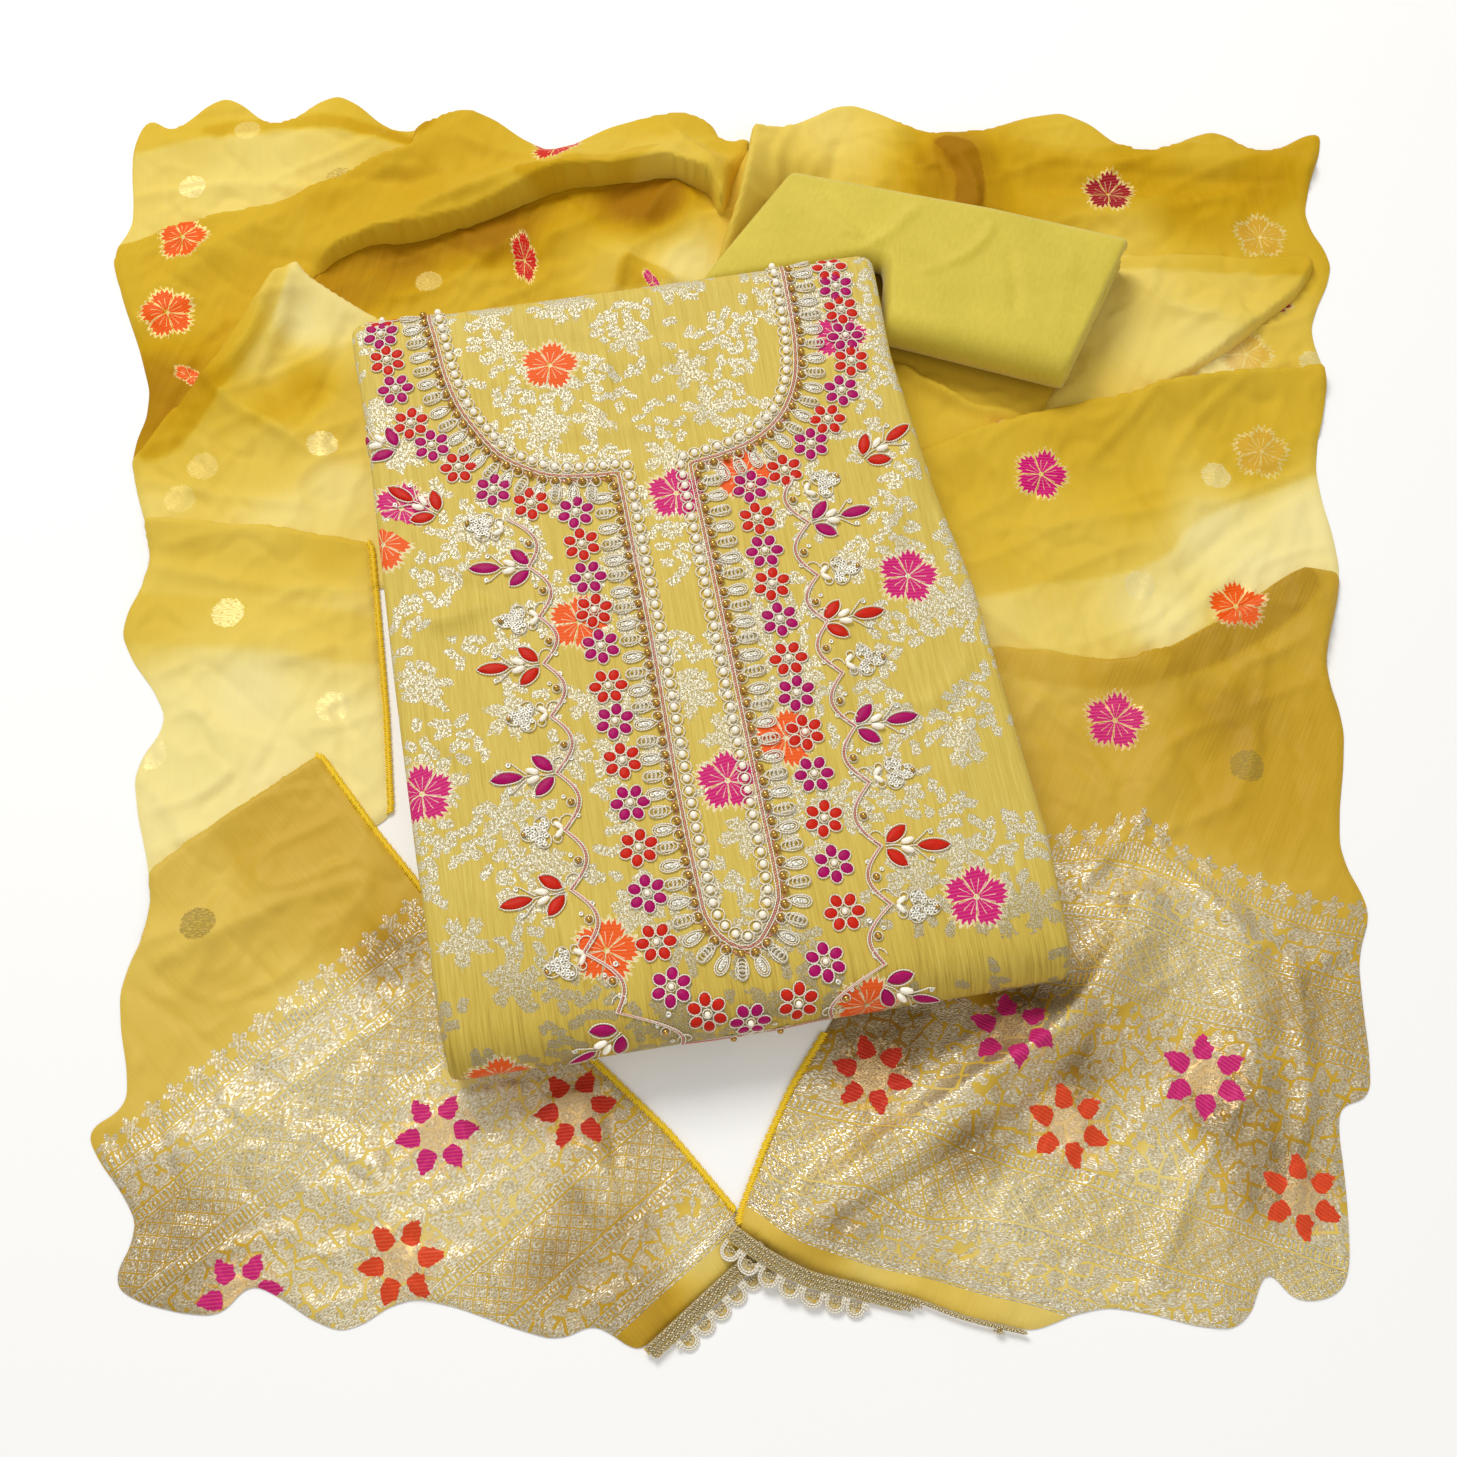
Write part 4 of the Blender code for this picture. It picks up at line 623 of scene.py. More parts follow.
# Per stretch: grain turn in degrees; tones (x, y, depth of colour) that blend, which hold the
# cloth's layering and also painted shade in fold valleys and hollows and painted highlight on
# fold ridges; layers beneath that show through (depth added, softness, loop); creases as fold
# rows; motifs by kind (x, y, radius, turn, share of its width that shows).
stretches = {
    "dupatta_corner": {"grain": 8, "tones": [(-355, 385, .42), (-300, 372, .36),
     (-240, 352, .4), (-352, 402, .46), (-205, 395, .5)],
     "layers": [(.22, 1.5, [(-400, 380), (-372, 383), (-311, 397), (-252, 402), (-196, 386),
      (-150, 380), (-150, 470), (-400, 470)]), (.16, 2.5, [(-320, 396), (-252, 401),
      (-196, 386), (-200, 398), (-252, 414), (-320, 408)])],
     "creases": [[(-360, 352, 1.5, 7, 9), (-300, 362, 2.4, 7, 10), (-240, 356, 1, 7, 9)],
      [(-350, 412, -1.6, 6, 6), (-290, 420, -1.4, 6, 6)], [(-330, 340, 1.2, 6, 8),
      (-280, 338, 1.8, 6, 8)]],
     "motifs": {"zariDot": [(-330, 360, 8.5, 0, 1)], "shadedDot": [(-240, 366, 9, 0, 1)],
      "faintDot": [(-300, 402, 8, 0, 1)]}},
    # the deepest tones here are painted shade in the hollow under the big fold
    "dupatta_back": {"grain": -12, "tones": [(-200, 312, 1), (-150, 325, 1), (-235, 295, .95),
     (-150, 280, .72), (-185, 240, .7), (-100, 250, .75), (-26, 300, .3), (-60, 290, .6),
     (20, 350, .6), (-48, 344, 1.05), (0, 260, .75)],
     "layers": [(.2, 1.2, [(-66, 283), (-59, 303), (-32, 288)])],
     "creases": [[(-49, 334, 2.4, 7, 7), (-33, 356, 2.6, 7, 7), (-18, 342, 1.5, 7, 7)],
      [(-66, 283, 2, 5, 6), (-59, 303, 3, 5, 6), (-32, 288, 1.6, 5, 6)],
      [(-210, 262, 1.6, 9, 9), (-160, 250, 2.2, 10, 10), (-90, 246, 1.4, 9, 9)],
      [(-215, 300, -1.6, 10, 10), (-150, 298, -1.8, 12, 10), (-100, 306, -1, 9, 9)]],
     "motifs": {"red": [(-123, 305, 18, 10, .42)], "faintDot": [(-180, 290, 8, 0, 1)],
      "magenta": [(-45, 284, 12, 30, .3)]}},
    "dupatta_back_left": {"grain": -14, "tones": [(-300, 360, .72), (-240, 352, .82),
     (-210, 345, .8), (-160, 400, .75), (-80, 372, .62), (-110, 392, .7), (-40, 380, .6),
     (-30, 410, .75), (-345, 290, .75), (-340, 200, .95), (-330, 150, .9), (-270, 300, .75),
     (-270, 385, .7), (-200, 415, .8)],
     "layers": [(.14, 1.5, [(-127, 350), (-102, 350), (-83, 345), (-62, 360), (-45, 370),
      (-45, 382), (-70, 376), (-100, 368), (-127, 364)]), (.1, 1.5, [(-330, 345), (-240, 372),
      (-190, 395), (-190, 430), (-260, 400), (-330, 365)])],
     "creases": [[(-216, 311, 1.6, 6, 7), (-174, 337, 2.6, 6, 7), (-139, 352, 2.4, 6, 7),
      (-103, 362, 1.2, 6, 7)], [(-37, 400, 2.4, 6, 8), (-29, 389, 2.8, 6, 8),
      (-13, 369, 2.4, 6, 8), (-4, 356, 1.2, 5, 6)], [(-230, 362, -2, 7, 7),
      (-190, 362, -2.2, 8, 8), (-150, 372, -1.2, 8, 8)], [(-170, 396, 1.6, 7, 9),
      (-120, 384, 2.2, 7, 9), (-70, 392, 1.4, 7, 9)], [(-330, 300, 1.6, 7, 8),
      (-300, 318, 2.2, 7, 8), (-270, 330, 1.4, 7, 8)], [(-300, 262, 1.5, 6, 7),
      (-318, 228, 2, 6, 7), (-330, 190, 1.2, 6, 7)], [(-113, 337, -1.4, 5, 5),
      (-94, 344, -1.8, 5, 5), (-78, 339, -1, 5, 5)]],
     "motifs": {"orange": [(-330, 319, 16.5, 14, .95), (-333, 265, 16.5, 40, 1),
      (-315, 222, 12, 60, .45)], "red": [(-107, 390, 16, 5, 1)],
      "shadedDot": [(-258, 272, 8, 0, 1)]}},
    "dupatta_shoulder": {"grain": 22, "tones": [(-250, 258, .16), (-234, 264, .22),
     (-248, 214, .84), (-262, 200, .8), (-290, 200, .66), (-311, 213, .7), (-300, 235, .55),
     (-330, 130, .42), (-220, 150, .3), (-200, 230, .5), (-262, 172, .55), (-250, 120, .3),
     (-190, 120, .35), (-320, 165, .62), (-272, 232, .4), (-225, 190, .6), (-205, 178, .45)],
     "layers": [(.22, 1.5, [(-340, 172), (-304, 226), (-286, 262), (-262, 292), (-262, 268),
      (-284, 222), (-318, 168)])],
     "creases": [[(-306, 219, 1.6, 6, 7), (-289, 202, 2.8, 7, 7), (-259, 184, 2.4, 7, 7),
      (-240, 170, 1.2, 6, 6)], [(-268, 283, 2.2, 6, 6), (-276, 251, 2.6, 6, 7),
      (-286, 230, 2.2, 6, 7), (-301, 213, 1, 6, 6)], [(-258, 283, 1.6, 5, 6),
      (-263, 251, 2.4, 6, 6), (-276, 219, 1.2, 6, 6)], [(-225, 258, -1.8, 7, 7),
      (-236, 215, -2.4, 8, 8), (-252, 178, -1, 7, 7)], [(-205, 205, 1.6, 7, 7),
      (-210, 158, 2, 8, 8), (-222, 112, 1, 7, 7)], [(-330, 150, 1.4, 7, 7),
      (-290, 142, 1.8, 8, 8), (-238, 136, 1.2, 7, 7)]],
     "motifs": {"zariDot": [(-233, 175, 8.5, 0, 1)], "faintDot": [(-310, 138, 8.5, 0, 1),
      (-300, 160, 8.5, 0, 1)]}},
    "dupatta_left_panel": {"grain": 4, "tones": [(-300, 115, .6), (-220, 105, .62),
     (-260, 90, .56), (-320, 70, .5), (-260, 62, .34), (-210, 62, .4), (-260, 20, .14),
     (-230, -40, .12), (-290, -60, .2), (-200, 0, .2), (-300, 0, .22), (-190, 40, .35),
     (-200, -60, .2), (-270, -100, .3)],
     "layers": [(.1, 2.5, [(-340, 52), (-280, 46), (-180, 36), (-180, 60), (-260, 74),
      (-340, 78)])],
     "creases": [[(-320, 96, 1.2, 9, 9), (-260, 84, 2, 10, 9), (-205, 80, 1.2, 9, 9)],
      [(-300, 32, 1, 12, 12), (-268, -20, 1.8, 12, 12), (-250, -84, 1.2, 12, 12)],
      [(-214, 62, -1.4, 7, 7), (-208, 10, -2, 8, 8), (-200, -34, -1.2, 7, 7)],
      [(-310, -30, 1.2, 9, 9), (-285, -60, 1.8, 9, 9), (-270, -100, 1.2, 9, 9)]],
     "motifs": {"zariDot": [(-275, 67, 9, 0, 1), (-213, 12, 9, 0, 1), (-308, -15, 9, 0, 1)]}},
    "dupatta_left_pallu": {"grain": 0, "tones": [(-270, -110, .44), (-300, -120, .4),
     (-262, -84, .42), (-220, -60, .66), (-200, -90, .6), (-260, -150, .5), (-150, -150, .4),
     (-250, -75, .7), (-122, -194, .2), (-199, -155, .2), (-232, -214, .25), (-143, -251, .25),
     (-18, -270, .25), (-62, -237, .35), (-178, -279, .35), (-210, -189, .2), (-257, -274, .85),
     (-270, -261, .8), (-80, -273, .9), (-72, -248, .85), (-69, -206, .75), (-60, -222, .8),
     (-101, -246, .2), (-98, -228, .2), (-47, -261, .85), (-37, -289, .85), (-174, -126, .9)],
     "layers": [],
     "creases": [[(-290, -130, 1.4, 9, 9), (-230, -100, 2.2, 10, 10), (-190, -86, 1.2, 9, 9)],
      [(-60, -200, -2, 8, 8), (-50, -250, -2.8, 9, 9), (-45, -290, -1.6, 8, 8)],
      [(-250, -200, 1.2, 10, 10), (-180, -226, 2, 12, 12), (-120, -262, 1.2, 10, 10)],
      [(-120, -150, 1.4, 8, 8), (-104, -200, 2, 8, 8), (-96, -262, 1.2, 8, 8)],
      [(-290, -190, -1.4, 9, 9), (-268, -240, -2, 9, 9), (-270, -280, -1, 8, 8)]],
     "motifs": {"shadedDot": [(-270, -110, 9, 0, 1)], "magentaLotus": [(-142, -215, 19, 40, 1),
      (-230, -290, 19, 40, 1)], "redLotus": [(-75, -203, 19, 40, 1)],
      "orangeLotus": [(-155, -275, 19, 40, 1)]}},
    "dupatta_back_right": {"grain": 6, "tones": [(60, 400, .42), (20, 380, .48), (45, 350, .55),
     (60, 320, .6), (250, 360, .88), (330, 360, .9), (205, 404, .65), (197, 367, .84),
     (280, 345, .88), (300, 390, .75), (240, 322, .6), (140, 368, .95), (150, 340, .9),
     (265, 250, .4), (282, 232, .2), (330, 240, .6), (200, 230, .7), (110, 300, .8),
     (350, 330, .75)],
     # this layer is painted shade in the tuck, not a layer beneath
     "layers": [(.16, 1.2, [(128, 392), (150, 384), (156, 350), (148, 332), (138, 336),
      (140, 366)])],
     "creases": [[(105, 376, 2, 5, 6), (119, 367, 2.8, 5, 6), (133, 383, 2, 5, 6)],
      [(133, 383, 1.6, 5, 6), (146, 367, 2.8, 5, 6), (152, 344, 2.6, 5, 6),
      (143, 329, 1.4, 5, 5)], [(153, 349, -2, 5, 5), (163, 334, -1.6, 5, 5)],
      [(40, 405, 1.6, 7, 7), (30, 370, 2.4, 7, 7), (34, 330, 1.4, 7, 7)],
      [(70, 395, -1.6, 7, 7), (62, 360, -2.2, 8, 8), (70, 330, -1.2, 7, 7)],
      [(180, 392, 1.6, 6, 8), (240, 388, 2.2, 6, 8), (310, 392, 1.6, 6, 8)],
      [(190, 352, 1.4, 8, 8), (250, 346, 2, 9, 9), (320, 350, 1.4, 8, 8)],
      [(200, 372, -1.2, 6, 6), (270, 366, -1.8, 7, 7), (340, 362, -1.2, 6, 6)],
      [(300, 270, 1.2, 7, 7), (280, 236, 1.8, 7, 7), (240, 205, 1.2, 7, 7)],
      [(100, 229, 3.2, 6, 8), (118, 215, 4.2, 6, 8), (141, 201, 4.2, 6, 8),
      (166, 196, 2.4, 6, 8)]],
     "motifs": {"wine": [(233, 353, 16, 12, 1), (325, 275, 13, 70, .5)],
      "faintFlower": [(323, 323, 16, 20, 1), (305, 238, 16, 0, 1)],
      "zariDot": [(265, 250, 8.5, 0, 1), (343, 232, 8, 0, 1)],
      "faintDot": [(60, 340, 8, 0, 1)]}},
    "dupatta_right_flap": {"grain": 30, "tones": [(240, 295, .4), (300, 290, .5),
     (340, 290, .6), (262, 240, .35), (200, 200, .45)],
     "layers": [(.18, 1.2, [(236, 306), (280, 306), (352, 306), (348, 290), (300, 292),
      (240, 296)])],
     "creases": [[(240, 288, 1.2, 5, 6), (262, 268, 2.2, 6, 6), (300, 256, 1.4, 5, 6)],
      [(270, 296, 1.2, 5, 6), (300, 276, 2, 6, 6), (325, 268, 1.2, 5, 6)],
      [(220, 250, 1.2, 6, 6), (238, 225, 1.8, 6, 6), (250, 212, 1, 5, 5)]],
     "motifs": {}},
    "dupatta_right_middle": {"grain": 10, "tones": [(150, 160, .54), (200, 182, .6),
     (330, 210, .56), (300, 172, .58), (150, 60, .36), (300, 90, .12), (240, 60, .2),
     (330, 125, .16), (180, 100, .45), (150, 110, .5), (230, 140, .55), (270, 120, .2),
     (210, 40, .4), (300, 20, .75), (285, 45, .7)],
     "layers": [(.16, 1.5, [(395, 170), (349, 161), (297, 141), (261, 122), (240, 100),
      (180, 85), (110, 90), (110, 230), (395, 250)])],
     "creases": [[(247, 208, 1.6, 5, 6), (226, 184, 2.2, 6, 6), (204, 162, 1.2, 6, 6)],
      [(300, 216, 1.4, 6, 7), (270, 190, 2, 7, 7), (250, 160, 1.2, 7, 7)],
      [(150, 120, 1.2, 8, 8), (190, 122, 2, 9, 9), (250, 134, 1.4, 8, 8)],
      [(330, 150, -1.4, 8, 8), (290, 126, -2, 8, 8), (250, 90, -1.4, 8, 8)],
      [(300, 110, 1.4, 8, 8), (262, 76, 2.2, 9, 9), (226, 48, 1.6, 8, 8)],
      [(140, 70, 1.2, 7, 7), (170, 46, 1.8, 7, 7), (200, 30, 1.2, 7, 7)]],
     "motifs": {"magenta": [(178, 155, 16, 0, 1), (207, 3, 17, 8, 1), (150, 192, 10, 70, .4)],
      "orange": [(280, 72, 16, 20, 1)], "faintFlower": [(305, 170, 16, 10, 1)],
      "zariDot": [(278, 155, 8.5, 0, 1), (228, 85, 8.5, 0, 1)]}},
    # tones: painted highlight along the big ridge, painted shade in its valley and beside the
    # kameez's edge
    "dupatta_right_pallu": {"grain": 0, "tones": [(165, 30, .5), (148, 10, .55), (220, 30, .62),
     (260, 30, .7), (300, 60, .7), (330, 0, .75), (280, -40, .75), (270, 10, .85),
     (180, -20, .65), (120, -120, .8), (148, -152, 1.15), (82, -175, 1.1), (159, -167, .2),
     (100, -201, .2), (43, -239, .2), (173, -183, 1), (116, -221, .95), (54, -257, .9),
     (209, -229, .15), (135, -250, .15), (160, -285, .3), (66, -274, .3), (245, -130, .3),
     (223, -118, .3), (290, -148, .8), (240, -203, .95), (262, -235, .95), (283, -274, .3),
     (305, -205, .75), (195, -210, .45)],
     "layers": [(.14, 1.5, [(148, 46), (215, 38), (262, 59), (316, 94), (322, 74), (270, 38),
      (215, 20), (150, 30)])],
     "creases": [[(206, -96, 2.6, 8, 7), (190, -128, 4, 11, 8), (159, -167, 5.2, 12, 9),
      (100, -202, 5.4, 12, 9), (43, -240, 4, 11, 8)], [(186, -160, -2, 8, 8),
      (172, -184, -2.6, 8, 9), (116, -221, -3, 8, 9), (54, -257, -2.4, 8, 8)],
      [(215, -55, 2.6, 7, 6), (196, -72, 3.6, 8, 7), (180, -92, 2.4, 7, 6)],
      [(215, -55, 2.2, 7, 7), (236, -84, 3.4, 8, 7), (258, -112, 2.2, 7, 7)],
      [(175, -98, -2.4, 4, 4), (215, -101, -3, 4, 4), (258, -114, -2, 4, 4)],
      [(150, -150, 1.6, 8, 8), (110, -176, 2.2, 8, 8), (70, -206, 1.6, 8, 8)],
      [(236, -150, -2, 10, 9), (200, -196, -3, 12, 10), (150, -252, -2, 10, 9)],
      [(286, -130, 2.4, 10, 9), (284, -190, 3.4, 12, 10), (270, -250, 2.2, 10, 9)],
      [(250, -200, 2.2, 9, 8), (220, -245, 3.4, 10, 9), (200, -285, 2, 9, 8)],
      [(160, 20, 1.4, 7, 7), (190, -10, 2, 8, 8), (200, -40, 1.2, 7, 7)], [(290, 40, 1.4, 7, 7),
      (280, -10, 2, 8, 8), (262, -50, 1.2, 7, 7)]],
     "motifs": {"magenta": [(207, 3, 17, 8, 1)], "orange": [(280, 72, 16, 20, 1)],
      "shadedDot": [(275, -23, 9, 0, 1)], "redLotus": [(71, -186, 19, 12, 1)],
      "magentaLotus": [(140, -166, 19, 4, 1), (235, -187, 20, -4, 1)],
      "orangeLotus": [(166, -211, 19, 8, 1), (275, -245, 19, 0, 1)]}}}
# Where the woven end pieces' own places lie: x and y in the plan, across, down.
palluPlaces = {
    "dupatta_left_pallu": [(-235, -158, 0, 0), (-159.3, -92.7, 100, 0),
     (-169.7, -233.7, 0, 100), (-94, -168.4, 100, 100), (-310.7, -223.3, -100, 0)],
    "dupatta_right_pallu": [(112, -50, 0, 0), (48, -165, 0, 137), (3.5, -258, 0, 245),
     (40, -279, 42, 245), (88, -290.5, 90, 245), (141, -305.5, 145, 245), (237, -335, 245, 245),
     (165, -60, 54, 0), (190, -57, 78, 0), (215, -50, 104, 0), (250, -75, 146, 0),
     (300, -95, 200, 0), (330, -100, 230, 0), (72, -185, 27, 140), (140, -165, 80, 104),
     (168, -207, 128, 139), (235, -187, 188, 104), (275, -245, 248, 139), (35, -200, 10, 163),
     (92, -212, 62, 163), (145, -229, 112, 163), (197, -243, 160, 163), (40, -242, 30, 197),
     (90, -258, 80, 197), (194, -277, 180, 197)]}
dupattaCut = {"spacing": 2.7, "rise": 0.35, "roundEdge": 3.6, "smooth": 2.6, "crinkle": 2.1,
              "ripple": 0.55, "foldGain": 1.2, "packClear": 0.35, "onPile": 0.25,
              "freeFrom": 20, "freeOver": 40, "calmEdge": 14,
              # gain, span, seed, squeeze, turn and sharpness of each crinkle
              "crinkles": [(1, 46, 3, .5, 24, 5), (-.8, 34, 11, .5, -38, 6),
                           (.6, 24, 17, .45, 66, 6)]}


def toneAt(points, tones):
    total, share = np.zeros(len(points)), np.zeros(len(points))
    for x, y, depth in tones:
        weight = ((points[:, 0] - x) ** 2 + (points[:, 1] - y) ** 2 + 60.0) ** -1.6
        total += weight * depth
        share += weight
    return total / share


# depth of colour at each point: the layers beneath that show through, with painted fold shade
# and painted highlight
def layersAndShadingAt(points, stretch):
    depthAndShading = toneAt(points, stretch["tones"])
    for added, soft, loop in stretch["layers"]:
        loop = smoothRun(loop, 4, True)
        signed = edgeDistance(points, loop) * np.where(inside(points, loop), 1, -1)
        depthAndShading = depthAndShading + added * np.clip(0.5 + signed / (2 * soft), 0, 1)
    return depthAndShading


def palluMap(points, places):  # local straight-line fits, blended by nearness
    known, wanted = np.split(np.array(places, float), 2, axis=1)
    weight = (((points[:, None, :] - known[None]) ** 2).sum(-1) + 40.0) ** -1.5
    basis = np.concatenate([np.ones((len(known), 1)), known], axis=1)
    left = np.einsum("pk,ki,kj->pij", weight, basis, basis)
    left += np.eye(3)[None] * left.trace(axis1=1, axis2=2)[:, None, None] * 1e-9
    fit = np.linalg.solve(left, np.einsum("pk,ki,kj->pij", weight, basis, wanted))
    here = np.concatenate([np.ones((len(points), 1)), points], axis=1)
    return np.einsum("pi,pij->pj", here, fit)


def packUndersides():  # where the folded garments press the dupatta down
    limit = np.full(grid["shape"], 99.0)
    for name in ("kameez_layers", "salwar_layers"):
        mesh = bmesh.new()
        mesh.from_mesh(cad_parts[name].data)
        low = toLayout([v.co for v in mesh.verts])[:, 2].min()
        cover = np.full(grid["shape"], -1.0)
        for face in mesh.faces:
            layTriangle(cover, toLayout([v.co for v in face.verts]))
        mesh.free()
        held = widened(cover, 2) > 0
        limit[held] = np.minimum(limit[held], low - dupattaCut["packClear"])
    return limit


def layDupatta():  # each stretch rests on the ones before it
    cut, spots = dupattaCut, gridSpots()
    pile, limit = np.zeros(grid["shape"]), packUndersides()
    crinkle = sum(gain * (1 - np.abs(gridNoise(span, seed, (1.0, squeeze), turn))) ** sharp
                  for gain, span, seed, squeeze, turn, sharp in cut["crinkles"])
    ripple = gridNoise(15, 5) * 0.5 + gridNoise(7, 6) * 0.25
    laid, rims = [], {}
    for name, stretch in stretches.items():
        top, mask, loop = solidTop(name)
        loop = evenly(loop, cut["spacing"], True)
        for _ in range(3):
            loop = 0.5 * loop + 0.25 * (np.roll(loop, 1, axis=0) + np.roll(loop, -1, axis=0))
        field = blurred(top, mask, cut["smooth"])
        near = widened(mask.astype(float), 3) > 0
        i, j = np.argwhere(near).T
        here = spots[i, j]
        free = np.clip((limit[i, j] - cut["freeFrom"]) / cut["freeOver"], 0, 1)
        away = np.clip(edgeDistance(here, loop) / cut["calmEdge"], 0, 1)
        added = cut["foldGain"] * foldHeight(here, stretch["creases"])
        added += cut["crinkle"] * crinkle[i, j] * (0.3 + 0.7 * away)
        added += cut["ripple"] * ripple[i, j]
        field[i, j] += added * free
        field = np.where(near, np.maximum(field, widened(pile, 1) + cut["rise"]), 0)
        field = np.minimum(field, limit)
        flat, faces, loop = planMesh(loop, cut["spacing"])
        under = sample(pile, flat) + cut["onPile"]
        near = np.clip(edgeDistance(flat, loop) / cut["roundEdge"], 0, 1)
        rounded = np.sqrt(np.clip(1 - (1 - near) ** 2, 0, 1))
        z = under + np.maximum(sample(field, flat) - under, 0) * rounded
        pile = np.maximum(pile, np.where(mask, field, 0))
        if name in palluPlaces:
            cloth, finish = palluMap(flat, palluPlaces[name]), palluCloth
        else:
            cloth = np.column_stack(turned(*flat.T, math.radians(stretch["grain"])))
            finish = sheerCloth
        points = toRow(np.column_stack([flat, z]))
        layers = {"layering": layersAndShadingAt(flat, stretch), **motifMaps(flat, stretch["motifs"])}
        piece = makePiece(name + "_cloth", points, faces, finish, cloth * mm, layers)
        dress(piece, name)
        rims[name] = np.column_stack([flat, z])[:len(loop)]
        area = surfaceArea(points, faces)
        laid.append((piece, name, *np.ptp(flat, axis=0) * mm, area))
        print(name, "laid,", len(faces), "faces, area", round(area, 4))
    return laid, rims


laidStretches, rims = layDupatta()

# Each pack has a frame of its own, turned about its middle: u across, v along, the front
# fold at low v.  "heights" and "front" are read at the share of the width and at u.
kameezPack = {
    "middle": (-26.75, 37.9), "turn": 9.5, "back": 222, "left": [(-215, -143), (-185, -144),
    (-100, -147), (0, -149), (150, -150), (205, -153), (225, -153)], "right": [(-215, 162),
    (-185, 163), (-140, 165), (-100, 163), (0, 159), (60, 151), (150, 145), (205, 147),
    (225, 147)], "front": [(-160, -211), (160, -211)], "heights": [(0, 38.5), (1, 38.5)],
    "sideRadius": 5.5, "sideSkirt": 4.5, "backRadius": 12, "backSkirt": 4, "frontTurn": 165,
    "creaseGain": 1.3, "columns": 104, "rows": 138, "foldRows": 20, "layers": 8,
    "creases": [[(-146, 172, 1.6, 16, 16), (-60, 165, 1.2, 18, 18), (40, 172, 1, 16, 16)],
     [(-34, 208, 1.2, 9, 9), (-14, 172, 2, 9, 10), (-24, 134, 1.2, 8, 8)], [(34, 200, -1, 8, 8),
     (26, 162, -1.6, 8, 8), (42, 124, -1, 8, 8)], [(-150, 40, 1.2, 9, 9), (-122, 24, 2, 9, 10),
     (-98, 30, 1, 8, 8)], [(150, -40, 1.2, 9, 9), (124, -62, 1.8, 9, 10), (104, -60, 1, 8, 8)],
     [(-146, 20, 1.4, 14, 14), (-90, 30, 1, 14, 14)], [(70, -40, 1.3, 30, 30),
     (120, 40, 1.6, 26, 26), (146, 90, 1, 20, 20)], [(-130, -120, 1.2, 24, 24),
     (-70, -160, 1.4, 24, 24)], [(-140, 60, -.8, 9, 9), (-100, 40, -1, 9, 9),
     (-78, 20, -.6, 8, 8)], [(-138, -40, .8, 10, 9), (-104, -60, 1, 10, 9),
     (-86, -90, .6, 8, 8)], [(110, 100, -.8, 9, 9), (128, 60, -1, 9, 9), (132, 20, -.6, 9, 9)],
     [(150, -60, .8, 10, 9), (128, -100, 1, 10, 9), (120, -150, .6, 8, 8)],
     [(-60, 190, -.7, 9, 9), (0, 182, -1, 9, 9), (60, 192, -.6, 9, 9)], [(-60, 130, .6, 8, 8),
     (0, 124, .8, 8, 8), (50, 132, .5, 8, 8)]]}
salwarPack = {
    "middle": (110, 280), "turn": -16.5, "back": 52, "left": [(-51, -121), (-22, -113),
    (50, -90)], "right": [(-51, 99), (52, 115)], "front": [(-125, -51), (-100, -38), (-44, -10),
    (-32, -2), (-23, -1), (-17, -7), (4, -50), (120, -51)], "heights": [(0, 19), (.35, 24),
    (.6, 28), (1, 29)], "sideRadius": 3.6, "sideSkirt": 2.6, "backRadius": 7.5, "backSkirt": 3,
    "frontTurn": 160, "creaseGain": 1.5, "columns": 76, "rows": 34, "foldRows": 16, "layers": 6,
    "creases": [[(-8, 44, 1.8, 7, 9), (-22, 14, 1.6, 7, 9), (-30, 6, 1, 6, 7)],
     [(36, 40, 1.6, 5, 7), (33, 22, 1.8, 5, 7), (22, 6, 1.6, 5, 7), (6, -6, 1.2, 5, 6)],
     [(88, 30, 1.6, 9, 11), (92, -28, 1.8, 9, 11)], [(-70, 30, .9, 8, 9), (-40, 10, 1.2, 8, 9)],
     [(50, 20, -.9, 7, 7), (60, -8, -1.3, 7, 7), (62, -22, -.8, 6, 6)], [(-44, 8, -1, 5, 5),
     (6, 2, -1.2, 5, 5), (18, 0, -.8, 5, 5)], [(96, 46, .8, 5, 6), (60, 44, 1, 5, 6),
     (40, 46, .6, 5, 5)]]}


def read(table, at):
    return np.interp(at, [row[0] for row in table], [row[1] for row in table])


def latticeFaces(rows, columns, first=0):
    return [(a, a + columns, a + columns + 1, a + 1) for a in (
        first + r * columns + k for r in range(rows - 1) for k in range(columns - 1))]


